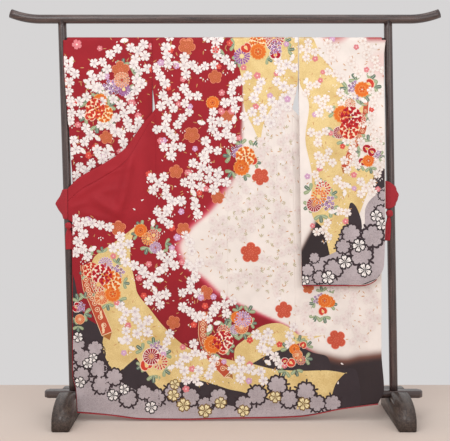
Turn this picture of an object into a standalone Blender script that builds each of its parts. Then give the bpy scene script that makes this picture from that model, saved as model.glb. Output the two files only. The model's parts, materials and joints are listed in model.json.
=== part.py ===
"""Long-sleeved silk kimono hung by its sleeves, back outwards, on a wooden kimono rack.

Metres, +Z up. The origin is on the floor under the middle of the top rail. +X runs along the
rail and the garment's back faces -Y. The rack's posts lean a little towards +X. The skirt is
spread flat: each front is opened outwards from its side seam, and the two ends of the collar
are wrapped round the posts and knotted.
"""

import math

import bmesh
import bpy
from mathutils import Vector

# --- the rack -----------------------------------------------------------------------------
RAIL_Z = 1.640
RAIL_R = 0.0182
RAIL_HALF = 0.871
RAIL_TIP_RUN = 0.120
RAIL_TIP_RISE = 0.023
POST_X = 0.663
POST_R = 0.0170
POST_LEAN = 0.0352
POLE_R = 0.0115
BAR_TOP = 0.115
BAR_THICK = 0.026
BAR_DEEP = 0.056
BAR_HALF = 0.780
BAR_CHAMFER = 0.016
FOOT_WIDE = 0.0705
FOOT_OUT = 0.018
FOOT_HALF = 0.205
FOOT_TOE = 0.035
FOOT_TOP = 0.1147
SOCKET_LONG = 0.006
GAP = 0.0003

# --- the garment --------------------------------------------------------------------------
WALL = 0.0020
CLOTH_TOP = 1.567
FOLD_R = 0.0130
POLE_Z = CLOTH_TOP - FOLD_R - WALL / 2
CENTRE_X = 0.010
HEM_FORWARD = 0.040
HEM_ROLL_R = 0.0022
COLLAR_WIDE = 0.055
FRONT_REACH = 0.640
FRONT_COLUMNS = 8
OKUMI_ROWS = 12
SLEEVE_LOW = 0.561
SLEEVE_CORNER_R = 0.095
SLEEVE_CLOSED = 0.0014
SLEEVE_COLUMNS = (0.0, 0.25, 0.50, 0.70, 0.84, 0.92, 0.958, 1.0)
CUFF_OPEN = 0.230
LAP_SPREAD = 0.0066

# Hem line of the spread skirt: x, z.
HEM = ((-0.612, 0.040), (-0.480, 0.029), (-0.330, 0.012), (-0.160, 0.0105), (0.000, 0.015),
       (0.200, 0.018), (0.310, 0.023), (0.480, 0.054), (0.632, 0.074))

# Outer edges of the skirt and its seams: z, x.
EDGE_LEFT = ((0.040, -0.6050), (0.085, -0.6075), (0.128, -0.6100), (0.190, -0.6235), (0.810, -0.6243))
EDGE_RIGHT = ((0.074, 0.6265), (0.130, 0.6500), (0.290, 0.6392), (0.860, 0.6392))
OKUMI_LEFT = ((0.027, -0.482), (0.400, -0.500), (0.620, -0.548), (0.810, -0.6195))
OKUMI_RIGHT = ((0.058, 0.506), (0.400, 0.510), (0.640, 0.562), (0.860, 0.6345))
SIDE_LEFT = ((0.012, -0.2695), (1.276, -0.2845), (1.394, -0.2960), (1.567, -0.2960))
SIDE_RIGHT = ((0.022, 0.2940), (1.278, 0.2750), (1.404, 0.2980), (1.567, 0.2980))

# Free upper edge of each opened front, which is the collar's edge: x, z.
FREE_LEFT = ((-0.641, 0.952), (-0.595, 0.996), (-0.500, 1.050), (-0.410, 1.112), (-0.345, 1.200),
             (-0.286, 1.272))
FREE_RIGHT = ((0.277, 1.274), (0.345, 1.196), (0.410, 1.122), (0.500, 1.058), (0.595, 1.004),
              (0.644, 0.986))

# Outer edge of each sleeve on its near wall: z, x.
SLEEVE_EDGE_LEFT = ((0.561, -0.6120), (0.980, -0.6270), (1.090, -0.6306), (1.270, -0.6440),
                    (1.470, -0.6550), (1.567, -0.6560))
SLEEVE_EDGE_RIGHT = ((0.561, 0.6420), (0.735, 0.6490), (1.470, 0.6450), (1.567, 0.6520))
SLEEVE_SEAM_RIGHT = ((0.561, 0.3120), (1.250, 0.3003), (1.567, 0.2983))

# Depth of the near and far wall of each sleeve: z, near y, far y.
SLEEVE_DEPTH_LEFT = ((0.561, 0.0040, 0.0140), (1.230, -0.0055, 0.0150), (1.400, -0.0130, 0.0140),
                     (1.553, -0.0130, 0.0130))
SLEEVE_DEPTH_RIGHT = ((0.561, -0.0610, -0.0480), (0.950, -0.0490, -0.0335),
                      (1.230, -0.0405, -0.0250), (1.420, -0.0145, 0.0130), (1.553, -0.0130, 0.0130))

# Soft folds of the spread skirt: x and z of the upper end, of the lower end, half width, height.
SKIRT_FOLDS = (
    (-0.372, 1.130, -0.432, 0.860, 0.030, 0.0110),
    (-0.560, 0.930, -0.420, 0.840, 0.030, 0.0050),
    (-0.350, 0.700, -0.330, 0.100, 0.045, 0.0060),
    (-0.150, 0.800, -0.170, 0.090, 0.050, 0.0055),
    (0.060, 0.700, 0.080, 0.100, 0.055, 0.0045),
    (0.270, 1.200, 0.190, 0.700, 0.035, 0.0040),
    (0.380, 0.520, 0.395, 0.110, 0.040, 0.0060),
    (0.512, 0.500, 0.508, 0.120, 0.026, 0.0060),
    (-0.545, 0.600, -0.550, 0.130, 0.035, 0.0050),
)

# Wrapped collar end on each post: share of the way round, upper z, lower z, outward bulge.
WRAP_LEFT = ((0.00, 0.950, 0.824, 0.000), (0.20, 0.948, 0.826, 0.000), (0.40, 0.944, 0.829, 0.018),
             (0.52, 0.940, 0.832, 0.037), (0.64, 0.942, 0.830, 0.018), (1.00, 0.944, 0.826, 0.000))
WRAP_RIGHT = ((0.00, 0.984, 0.870, 0.000), (0.20, 0.980, 0.868, 0.000), (0.40, 0.966, 0.876, 0.008),
              (0.52, 0.958, 0.886, 0.016), (0.64, 0.962, 0.880, 0.008), (1.00, 0.970, 0.872, 0.000))
WRAP_CLEAR = 0.0016
WRAP_START_LEFT = -0.6415
WRAP_START_RIGHT = 0.6445

# Colour, roughness and metallic value of each finish.
FINISHES = {
    "lacquered_wood": ((0.060, 0.040, 0.035, 1.0), 0.35, 0.0),
    "red_silk": ((0.430, 0.032, 0.042, 1.0), 0.45, 0.0),
    "figured_silk": ((0.560, 0.250, 0.230, 1.0), 0.45, 0.0),
}


def smooth(share):
    """Eases 0..1 with no corner at either end."""
    share = min(max(share, 0.0), 1.0)
    return share * share * (3.0 - 2.0 * share)


def mix(low, high, share):
    return low + (high - low) * share


def along(table, at, column=1):
    """Smooth value of a table's column at a place given in its first column."""
    rows = table if table[0][0] < table[-1][0] else tuple(reversed(table))
    if at <= rows[0][0]:
        return rows[0][column]
    if at >= rows[-1][0]:
        return rows[-1][column]
    slopes = [(b[column] - a[column]) / (b[0] - a[0]) for a, b in zip(rows, rows[1:])]
    for i, (low, high) in enumerate(zip(rows, rows[1:])):
        if at <= high[0]:
            break
    run = high[0] - low[0]
    start = bend_slope(slopes, i - 1)
    end = bend_slope(slopes, i)
    t = (at - low[0]) / run
    value = mix(low[column], high[column], t * t * (3.0 - 2.0 * t))
    return value + run * (t * (1.0 - t) ** 2 * start - t * t * (1.0 - t) * end)


def bend_slope(slopes, i):
    """Slope at the row between two stretches, flat where they turn back on each other."""
    if i < 0:
        return slopes[0]
    if i + 1 >= len(slopes):
        return slopes[-1]
    before, after = slopes[i], slopes[i + 1]
    return 2.0 * before * after / (before + after) if before * after > 0.0 else 0.0


def side_seam(word, z):
    """x of a side seam, which is straight up to the arm opening."""
    table = SIDE_LEFT if word == "left" else SIDE_RIGHT
    (low_z, low_x), (high_z, high_x) = table[0], table[1]
    if z <= high_z:
        return mix(low_x, high_x, (z - low_z) / (high_z - low_z))
    return along(table[1:], z)


def post_centre(side, z):
    """x of a leaning post's axis at a height."""
    return side * POST_X + POST_LEAN * (RAIL_Z - z) / (RAIL_Z - BAR_TOP)


# --- mesh making --------------------------------------------------------------------------
def material(finish):
    made = bpy.data.materials.get(finish)
    if made:
        return made
    colour, roughness, metallic = FINISHES[finish]
    made = bpy.data.materials.new(finish)
    made.use_nodes = True
    shader = made.node_tree.nodes["Principled BSDF"]
    shader.inputs["Base Color"].default_value = colour
    shader.inputs["Roughness"].default_value = roughness
    shader.inputs["Metallic"].default_value = metallic
    return made


def solid(name, points, faces, finish, crease=math.radians(40)):
    """One closed object from its points and faces, with its faces turned outwards."""
    mesh = bpy.data.meshes.new(name)
    mesh.from_pydata([tuple(p) for p in points], [], faces)
    form = bmesh.new()
    form.from_mesh(mesh)
    bmesh.ops.recalc_face_normals(form, faces=form.faces)
    form.to_mesh(mesh)
    form.free()
    mesh.materials.append(material(finish))
    mesh.shade_smooth()
    mesh.set_sharp_from_angle(angle=crease)
    made = bpy.data.objects.new(name, mesh)
    bpy.context.collection.objects.link(made)
    return made


def cloth(name, grid, finish, skip=None, upright=True):
    """A wall of cloth on a grid of points, with the cells that skip(row, column) names left out.

    An upright wall is thickened square to X, which keeps its side edges exactly where they are.
    """
    rows, columns = len(grid), len(grid[0])

    def normal(r, c):
        down = grid[min(r + 1, rows - 1)][c] - grid[max(r - 1, 0)][c]
        across = grid[r][min(c + 1, columns - 1)] - grid[r][max(c - 1, 0)]
        out = down.cross(across)
        if upright:
            out.x = 0.0
        return out.normalized()

    cells = {(r, c) for r in range(rows - 1) for c in range(columns - 1)
             if not (skip and skip(r, c))}
    corners = sorted({(r + i, c + j) for r, c in cells for i in (0, 1) for j in (0, 1)})
    order = {corner: i for i, corner in enumerate(corners)}
    shift = len(corners)
    points = [grid[r][c] + normal(r, c) * WALL / 2 for r, c in corners]
    points += [grid[r][c] - normal(r, c) * WALL / 2 for r, c in corners]
    faces = []
    for r, c in sorted(cells):
        loop = [order[k] for k in ((r, c), (r, c + 1), (r + 1, c + 1), (r + 1, c))]
        faces.append(loop)
        faces.append([i + shift for i in reversed(loop)])
        beyond = ((r - 1, c), (r, c + 1), (r + 1, c), (r, c - 1))
        for k, cell in enumerate(beyond):
            if cell not in cells:
                a, b = loop[k], loop[(k + 1) % 4]
                faces.append([b, a, a + shift, b + shift])
    return solid(name, points, faces, finish)


def tube(name, line, radius, sides, finish):
    """A round bar along a line of points, closed at both ends."""
    points, faces = [], []
    for i, centre in enumerate(line):
        ahead = (line[min(i + 1, len(line) - 1)] - line[max(i - 1, 0)]).normalized()
        across = ahead.cross(Vector((0.0, 1.0, 0.0))).normalized()
        over = across.cross(ahead)
        for k in range(sides):
            turn = math.tau * k / sides
            points.append(centre + (across * math.cos(turn) + over * math.sin(turn)) * radius)
    for i in range(len(line) - 1):
        for k in range(sides):
            a, b = i * sides + k, i * sides + (k + 1) % sides
            faces.append([a, b, b + sides, a + sides])
    faces.append(list(range(sides)))
    faces.append([len(points) - 1 - k for k in range(sides)])
    return solid(name, points, faces, finish)


def prism(name, outline, low, high, finish, axis=0):
    """A flat outline of (first, second) pairs drawn out from low to high along an axis."""
    def place(along_axis, pair):
        spot = list(pair)
        spot.insert(axis, along_axis)
        return Vector(spot)

    count = len(outline)
    points = [place(low, pair) for pair in outline] + [place(high, pair) for pair in outline]
    faces = [[k, (k + 1) % count, (k + 1) % count + count, k + count] for k in range(count)]
    faces.append(list(range(count)))
    faces.append([2 * count - 1 - k for k in range(count)])
    return solid(name, points, faces, finish, crease=math.radians(30))


# --- the rack -----------------------------------------------------------------------------
def make_rail():
    """Round top rail whose two tips curve upwards."""
    steps, tip_steps = 6, 6
    spots = [mix(-RAIL_HALF + RAIL_TIP_RUN, RAIL_HALF - RAIL_TIP_RUN, i / steps)
             for i in range(steps + 1)]
    spots = [-RAIL_HALF + RAIL_TIP_RUN * i / tip_steps for i in range(tip_steps)] + spots
    spots += [RAIL_HALF - RAIL_TIP_RUN * (1.0 - (i + 1) / tip_steps) for i in range(tip_steps)]
    line = []
    for x in spots:
        out = max(0.0, abs(x) - (RAIL_HALF - RAIL_TIP_RUN)) / RAIL_TIP_RUN
        line.append(Vector((x, 0.0, RAIL_Z + RAIL_TIP_RISE * out * out)))
    tube("rack_top_rail", line, RAIL_R, 20, "lacquered_wood")


def make_post(name, side):
    """Leaning round post: flat foot on the bottom bar, top hollowed to the rail's round."""
    sides = 24
    foot_z = BAR_TOP + GAP
    reach = RAIL_R + GAP
    ring = [(POST_R * math.cos(math.tau * (k + 0.5) / sides),
             POST_R * math.sin(math.tau * (k + 0.5) / sides)) for k in range(sides)]
    points = [Vector((post_centre(side, foot_z) + x, y, foot_z)) for x, y in ring]
    for x, y in ring:
        z = RAIL_Z - math.sqrt(reach * reach - y * y)
        points.append(Vector((post_centre(side, z) + x, y, z)))
    faces = [[k, (k + 1) % sides, (k + 1) % sides + sides, k + sides] for k in range(sides)]
    faces.append(list(range(sides)))
    half = sides // 2
    # Each strip of the hollow joins two ring points to the two that face them across x.
    for k in range(half - 1):
        near = (k - sides // 4) % sides
        far = (half - 1 - near) % sides
        after, before = (near + 1) % sides, (far - 1) % sides
        strip = [near, after, before, far]
        strip = [i for n, i in enumerate(strip) if i not in strip[:n]]
        if len(strip) > 2:
            faces.append([i + sides for i in strip])
    solid(name, points, faces, "lacquered_wood")


def make_pole():
    """Pole through both sleeves, held in a small socket on the inner side of each post."""
    ends = {side: post_centre(side, POLE_Z) - side * (POST_R + GAP) for side in (-1, 1)}
    for side, word in ((-1, "left"), (1, "right")):
        inner = ends[side] - side * SOCKET_LONG
        disc = [Vector((x, 0.0, POLE_Z)) for x in sorted((inner, ends[side]))]
        tube(f"rack_pole_socket_{word}", disc, POLE_R, 20, "lacquered_wood")
        ends[side] = inner - side * GAP
    line = [Vector((mix(ends[-1], ends[1], i / 4), 0.0, POLE_Z)) for i in range(5)]
    tube("rack_sleeve_pole", line, POLE_R, 20, "lacquered_wood")


def make_base():
    """Two feet, notched for a flat bottom bar that the posts stand on."""
    shift = POST_LEAN
    low = BAR_TOP - BAR_THICK
    half = BAR_DEEP / 2
    plan = []
    for sx, sy in ((-1, -1), (1, -1), (1, 1), (-1, 1)):
        end, cut = sx * BAR_HALF + shift, sx * (BAR_HALF - BAR_CHAMFER) + shift
        corner = [(end, sy * (half - BAR_CHAMFER)), (cut, sy * half)]
        plan += corner if sx * sy > 0 else corner[::-1]
    prism("rack_bottom_bar", plan, low, BAR_TOP, "lacquered_wood", axis=2)
    notch = half + GAP
    steps = 9
    crown = notch + 0.006
    rise = []
    for i in range(steps + 1):
        turn = math.radians(90) * i / steps
        rise.append((mix(crown, FOOT_HALF, math.sin(turn)), mix(FOOT_TOE, FOOT_TOP, math.cos(turn))))
    for side, word in ((-1, "left"), (1, "right")):
        outline = [(notch, low - GAP), (notch, FOOT_TOP)] + rise + [(FOOT_HALF, 0.0)]
        outline = [(-y, z) for y, z in reversed(outline)] + outline
        outline = [pair for pair in outline if pair[1] > 0.0]
        outline = [(-FOOT_HALF, 0.0)] + outline + [(FOOT_HALF, 0.0)]
        middle = post_centre(side, BAR_TOP) + side * FOOT_OUT
        prism(f"rack_foot_{word}", outline, middle - FOOT_WIDE / 2, middle + FOOT_WIDE / 2,
              "lacquered_wood")


# --- the garment's surfaces ---------------------------------------------------------------
def skirt_depth(x, z):
    """y of the spread back and fronts, which hang forward of the bottom bar."""
    drop = max(POLE_Z - z, 0.0) / POLE_Z
    depth = -(FOLD_R + HEM_FORWARD * drop ** 1.5)
    for top_x, top_z, low_x, low_z, half_width, height in SKIRT_FOLDS:
        length = math.hypot(low_x - top_x, low_z - top_z)
        ahead = ((low_x - top_x) / length, (low_z - top_z) / length)
        down = (x - top_x) * ahead[0] + (z - top_z) * ahead[1]
        off = (x - top_x) * ahead[1] - (z - top_z) * ahead[0]
        fade = smooth(down / (0.35 * length)) * smooth((length * 1.15 - down) / (0.35 * length))
        depth -= height * math.exp(-(off / half_width) ** 2) * fade
    return depth


def on_skirt(x, z):
    return Vector((x, skirt_depth(x, z), z))


def over_pole(x, height, reach=FOLD_R):
    """Point of a fold over the pole, for a length of cloth measured up from its middle line."""
    turn = height / FOLD_R
    return Vector((x, -reach * math.cos(turn), POLE_Z + FOLD_R * math.sin(turn)))


def far_depth(z):
    """y of the chest and upper collar behind the garment, which come forward under the arm."""
    return mix(-0.0120, FOLD_R, smooth((z - 1.175) / 0.160))


def make_backs():
    """Two back panels that meet at the centre seam, and their shoulder stretches over the pole."""
    arc_steps, down_steps, columns = 6, 12, 6
    for word in ("left", "right"):
        table = SIDE_LEFT if word == "left" else SIDE_RIGHT
        arm_low, arm_top = table[1][0], table[2][0]
        levels = [POLE_Z - GAP, (POLE_Z + arm_top) / 2, arm_top, (arm_top + arm_low) / 2]
        low = along(HEM, side_seam(word, 0.02))
        levels += [mix(arm_low, low, r / down_steps) for r in range(down_steps + 1)]
        grid = []
        for r in range(arc_steps + 1):
            height = math.pi * FOLD_R * (1.0 - r / arc_steps)
            grid.append([over_pole(back_x(word, CLOTH_TOP, c / columns), height)
                         for c in range(columns + 1)])
        cloth(f"shoulder_{word}", grid, "figured_silk")
        grid = []
        for level in levels:
            row = []
            for c in range(columns + 1):
                x = back_x(word, level, c / columns)
                z = level
                if level < arm_low:
                    z = mix(along(HEM, x), arm_low, (level - low) / (arm_low - low))
                row.append(on_skirt(x, z))
            grid.append(row)
        cloth(f"back_{word}", grid, "figured_silk")


def back_x(word, z, share):
    """x across a back panel, from its outer edge at a height to the centre seam."""
    sign = -1.0 if word == "left" else 1.0
    return mix(side_seam(word, z) - sign * GAP / 2, CENTRE_X + sign * GAP / 2, share)


def opened_front(word):
    """Sign of x, free edge, overlap seam and outer edge of one opened front."""
    if word == "left":
        return -1, FREE_LEFT, OKUMI_LEFT, EDGE_LEFT
    return 1, FREE_RIGHT, OKUMI_RIGHT, EDGE_RIGHT


def collar_columns(word):
    """x of each column of points along the seam between an opened front and its collar."""
    sign = opened_front(word)[0]
    inner, outer = side_seam(word, 1.262) + sign * GAP / 2, sign * FRONT_REACH
    return [mix(inner, outer, c / FRONT_COLUMNS) for c in range(FRONT_COLUMNS + 1)]


def seam_levels(word):
    """Heights of the rows that an opened front and its overlap panel share, top first."""
    seam = opened_front(word)[2]
    top, low = seam[-1][0] - 0.004, along(HEM, seam[0][1])
    return [mix(top, low, r / OKUMI_ROWS) for r in range(OKUMI_ROWS + 1)]


def collar_low(word, x):
    """z of the seam between an opened front and its collar."""
    sign, free = opened_front(word)[:2]
    return along(free, x) - COLLAR_WIDE * collar_share(x)


def make_fronts():
    """Opened lower fronts, from the side seam out to the overlap panel and up to the collar."""
    above = 4
    for word in ("left", "right"):
        sign, _, okumi, _ = opened_front(word)
        tops = collar_columns(word)
        levels = seam_levels(word)
        outer_top = collar_low(word, tops[-1])
        heights = [mix(outer_top, levels[0] + 0.012, r / (above - 1)) for r in range(above)]
        heights += levels
        inner_top, inner_low = collar_low(word, tops[0]), along(HEM, side_seam(word, 0.02))
        grid = []
        for r, z_out in enumerate(heights):
            drop = (outer_top - z_out) / (outer_top - heights[-1])
            z_in = mix(inner_top, inner_low, drop)
            x_in = side_seam(word, z_in) + sign * GAP / 2
            x_out = sign * FRONT_REACH if r < above else along(okumi, z_out) - sign * GAP / 2
            row = []
            for c, top_x in enumerate(tops):
                x = mix(x_in, x_out, c / FRONT_COLUMNS)
                z = mix(collar_low(word, top_x), along(HEM, x), drop)
                if c == FRONT_COLUMNS:
                    z = z_out
                row.append(on_skirt(x, z))
            grid.append(row)
        cloth(f"front_{word}", grid, "figured_silk")


def collar_share(x):
    """Share of the collar's width at x: it narrows where it comes through under the arm."""
    return mix(0.45, 1.0, smooth((abs(x) - 0.285) / 0.10))


def make_okumi():
    """Overlap panels at the skirt's outer edges, which run up to a point."""
    columns = 3
    for word in ("left", "right"):
        sign, _, seam, edge = opened_front(word)
        levels = seam_levels(word)
        corner_z = along(HEM, along(edge, 0.05))
        grid = []
        for z_in in levels:
            drop = (levels[0] - z_in) / (levels[0] - levels[-1])
            z_out = mix(levels[0], corner_z, drop)
            x_in, x_out = along(seam, z_in) + sign * GAP / 2, along(edge, z_out)
            row = [on_skirt(x_in, z_in)]
            for c in range(1, columns + 1):
                x = mix(x_in, x_out, c / columns)
                row.append(on_skirt(x, mix(levels[0], along(HEM, x), drop)))
            grid.append(row)
        cloth(f"okumi_{word}", grid, "figured_silk")


def make_chests():
    """Upper fronts behind the pole, from the shoulder fold down to the point under the arm."""
    rows, columns = 9, 4
    for word, sign in (("left", -1), ("right", 1)):
        grid = []
        for r in range(rows + 1):
            z = mix(POLE_Z - GAP, 1.180, r / rows)
            outer = side_seam(word, max(z, 1.276)) - sign * 0.0006
            inner = collar_seam(z, sign)
            row = []
            for c in range(columns + 1):
                x = mix(outer, inner, c / columns)
                row.append(Vector((x, far_depth(z), z)))
            grid.append(row)
        cloth(f"chest_{word}", grid, "figured_silk")


def collar_seam(z, sign):
    """x of the slanting seam between a chest and its upper collar."""
    return CENTRE_X + sign * mix(0.252, 0.088, (z - 1.180) / (POLE_Z - 1.180))


def make_collars():
    """Each collar: a slanting upper stretch behind, and a lower one along the opened front."""
    rows = 10
    for word, sign in (("left", -1), ("right", 1)):
        grid = []
        for r in range(rows + 1):
            z = mix(POLE_Z - GAP, 1.190, r / rows)
            seam = collar_seam(z, sign) - sign * GAP
            width = COLLAR_WIDE * 1.16
            row = []
            for c in range(3):
                x = seam - sign * width * c / 2
                row.append(Vector((x, far_depth(z), z)))
            grid.append(row)
        cloth(f"collar_upper_{word}", grid, "figured_silk")
        free = opened_front(word)[1]
        grid = []
        for r in range(3):
            row = []
            for x in collar_columns(word):
                width = COLLAR_WIDE * collar_share(x) - 0.0006
                row.append(on_skirt(x, along(free, x) - width * r / 2))
            grid.append(row)
        cloth(f"collar_lower_{word}", grid, "red_silk")


# --- the sleeves --------------------------------------------------------------------------
def sleeve_edges(word, z, near):
    """x of a sleeve's seam side and of its outer edge at a height."""
    if word == "left":
        inner = SIDE_LEFT[-1][1] - GAP
        outer = along(SLEEVE_EDGE_LEFT, z)
        limit = post_centre(-1, z) + POST_R + 0.0025
        return inner, outer if near else max(outer, limit)
    inner = along(SLEEVE_SEAM_RIGHT, z)
    outer = along(SLEEVE_EDGE_RIGHT, z)
    limit = post_centre(1, z) - POST_R - 0.0025
    return inner, outer if near else min(outer, limit)


def sleeve_wall(word, x, z, near):
    """y of a sleeve's near or far wall: spread at the pole, closed at its sewn edges."""
    table = SLEEVE_DEPTH_LEFT if word == "left" else SLEEVE_DEPTH_RIGHT
    sign = -1.0 if word == "left" else 1.0
    front, back = along(table, z, 1), along(table, z, 2)
    spread = LAP_SPREAD * smooth((abs(x) - 0.450) / 0.170)
    reach = smooth((z - 1.230) / 0.160)
    back += spread * reach
    if word == "left":
        edge = smooth((abs(x) - 0.560) / 0.050) * smooth((z - 1.020) / 0.060)
        front = mix(front, -FOLD_R, edge)
        reach = max(reach, edge)
    front -= spread * reach
    if near:
        return front
    side_gap = max(sign * (sleeve_edges(word, z, True)[1] - x), 0.0)
    sewn = smooth((CLOTH_TOP - CUFF_OPEN - z) / 0.080)
    shut = min(smooth((z - SLEEVE_LOW) / 0.050), mix(1.0, smooth(side_gap / 0.050), sewn))
    return mix(front + 2.0 * SLEEVE_CLOSED, back, math.sqrt(shut))


def sleeve_low(word, x):
    """z of a sleeve's lower edge, rounded at its outer corner."""
    outer = sleeve_edges(word, 0.640, True)[1]
    centre = abs(outer) - SLEEVE_CORNER_R
    over = min(max(abs(x) - centre, 0.0), SLEEVE_CORNER_R)
    return SLEEVE_LOW + SLEEVE_CORNER_R - math.sqrt(SLEEVE_CORNER_R ** 2 - over ** 2)


def make_sleeves():
    """Each long sleeve: one cloth folded over the pole, its near and far walls sewn below."""
    down_steps, arc_steps = 13, 6
    for word in ("left", "right"):
        grid = []
        for r in range(2 * down_steps + arc_steps + 1):
            row = []
            for share in SLEEVE_COLUMNS:
                row.append(sleeve_point(word, share, r, down_steps, arc_steps))
            grid.append(row)

        def skip(r, c):
            """The near wall laps the post; the fold and the far wall stop short of it."""
            return c == len(SLEEVE_COLUMNS) - 2 and r >= down_steps

        cloth(f"sleeve_{word}", grid, "figured_silk", skip=skip)


def sleeve_point(word, share, r, down_steps, arc_steps):
    """Point of a sleeve's cloth: up the near wall, over the pole, then down the far wall."""
    top = down_steps + arc_steps
    if down_steps < r < top:
        inner, outer = sleeve_edges(word, CLOTH_TOP, True)
        x = mix(inner, outer, share)
        reach = FOLD_R + LAP_SPREAD * smooth((abs(x) - 0.450) / 0.170)
        return over_pole(x, math.pi * FOLD_R * (r - down_steps) / arc_steps, reach)
    near = r <= down_steps
    rise = r / down_steps if near else 1.0 - (r - top) / down_steps
    level = mix(SLEEVE_LOW, POLE_Z, rise)
    inner, outer = sleeve_edges(word, level, near)
    x = mix(inner, outer, share)
    z = mix(sleeve_low(word, x), POLE_Z, rise)
    return Vector((x, sleeve_wall(word, x, z, near), z))


# --- small pieces -------------------------------------------------------------------------
def make_wraps():
    """Collar ends wrapped round the posts, each in a fold that stands out past the post."""
    around, across = 14, 4
    sides = {"left": (WRAP_LEFT, WRAP_START_LEFT, -1), "right": (WRAP_RIGHT, WRAP_START_RIGHT, 1)}
    for word, (table, start, sign) in sides.items():
        grid = []
        for r in range(across + 1):
            row = []
            for k in range(around + 1):
                share = k / around
                z = mix(along(table, share, 1), along(table, share, 2), r / across)
                crest = 1.0 - abs(2.0 * r / across - 1.0)
                bulge = along(table, share, 3) * crest
                row.append(wrap_point(share, z, bulge, start, sign))
            grid.append(row)
        cloth(f"collar_wrap_{word}", grid, "red_silk", upright=False)


def wrap_point(share, z, bulge, start, sign):
    """Point on a wrap's path: along the post's front, round its outer side, then behind it."""
    radius = POST_R + WRAP_CLEAR + WALL / 2
    centre = post_centre(sign, z)
    front = max(sign * (centre - start), 0.002)
    arc = math.pi * radius
    tail = 0.014
    way = share * (front + arc + tail)
    if way <= front:
        return Vector((start + sign * way, -radius, z))
    if way >= front + arc:
        return Vector((centre - sign * (way - front - arc), radius, z))
    turn = (way - front) / radius
    out = math.sin(turn)
    return Vector((centre + sign * (radius * out + bulge * out * out), -radius * math.cos(turn), z))


def make_ties():
    """The knot below each wrap and the collar's end that hangs from it."""
    rows = {"left": (-0.6385, 0.8000, 0.0140, -0.6385, 0.7020, 0.0270),
            "right": (0.6700, 0.8500, 0.0150, 0.6630, 0.7380, 0.0240)}
    for word, (knot_x, knot_z, knot_r, end_x, end_z, end_wide) in rows.items():
        rings, sides = 6, 10
        middle = Vector((knot_x, -0.0290, knot_z))
        points, faces = [middle + Vector((0, 0, knot_r))], []
        for i in range(1, rings):
            for k in range(sides):
                tilt, turn = math.pi * i / rings, math.tau * k / sides
                points.append(middle + Vector((
                    knot_r * 1.05 * math.sin(tilt) * math.cos(turn),
                    0.0085 * math.sin(tilt) * math.sin(turn), knot_r * math.cos(tilt))))
        points.append(middle - Vector((0, 0, knot_r)))
        last = len(points) - 1
        for k in range(sides):
            after = (k + 1) % sides
            faces.append([0, 1 + k, 1 + after])
            faces.append([last, last - sides + after, last - sides + k])
            for i in range(rings - 2):
                a, b = 1 + i * sides, 1 + (i + 1) * sides
                faces.append([a + k, b + k, b + after, a + after])
        solid(f"collar_knot_{word}", points, faces, "red_silk")
        grid = []
        for r in range(5):
            z = mix(knot_z - knot_r - GAP, end_z, r / 4)
            wide = mix(end_wide * 0.80, end_wide, r / 4)
            x = mix(knot_x, end_x, r / 4)
            grid.append([Vector((x + wide * (c / 3 - 0.5), -0.0195 - 0.0015 * math.sin(2.0 * c), z))
                         for c in range(4)])
        cloth(f"collar_end_{word}", grid, "red_silk")


def make_rolls():
    """The lining's red edge, rolled out along the hem and under each sleeve."""
    steps = 36
    line = []
    for i in range(steps + 1):
        x = mix(along(EDGE_LEFT, 0.04), along(EDGE_RIGHT, 0.074), i / steps)
        z = along(HEM, x)
        line.append(Vector((x, skirt_depth(x, z), z - HEM_ROLL_R - 2 * GAP)))
    tube("hem_roll", line, HEM_ROLL_R, 6, "red_silk")
    for word in ("left", "right"):
        line = []
        inner, outer = sleeve_edges(word, SLEEVE_LOW, True)
        for share in SLEEVE_COLUMNS[:-2]:
            x = mix(inner, outer, share)
            z = sleeve_low(word, x)
            y = (sleeve_wall(word, x, z, True) + sleeve_wall(word, x, z, False)) / 2
            line.append(Vector((x, y, z - HEM_ROLL_R - 3 * GAP)))
        tube(f"sleeve_roll_{word}", line, HEM_ROLL_R, 6, "red_silk")


def main():
    for item in list(bpy.data.objects):
        bpy.data.objects.remove(item, do_unlink=True)
    make_rail()
    make_post("rack_post_left", -1)
    make_post("rack_post_right", 1)
    make_pole()
    make_base()
    make_backs()
    make_fronts()
    make_okumi()
    make_chests()
    make_collars()
    make_sleeves()
    make_wraps()
    make_ties()
    make_rolls()


main()
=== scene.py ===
"""Looks of a long-sleeved silk kimono, hung spread and back outwards on a wooden kimono rack.

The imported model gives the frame. This script lays fine cloth over the same surfaces as the model's
walls, prints it with flowers laid out flat on the cloth and then draped, and finishes the wood.
Metres, +Z up; the garment's back faces -Y. A place on the cloth is (x, w): x across, and w the
length measured up the near side, over the pole, and on down the far side.
"""

import json
import logging
import math
import random
from contextlib import contextmanager
from dataclasses import dataclass, field
from enum import Enum
from typing import Callable, Iterable, Iterator, Sequence

import bmesh
import bpy
import numpy as np
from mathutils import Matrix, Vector
from mathutils.geometry import delaunay_2d_cdt

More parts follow.
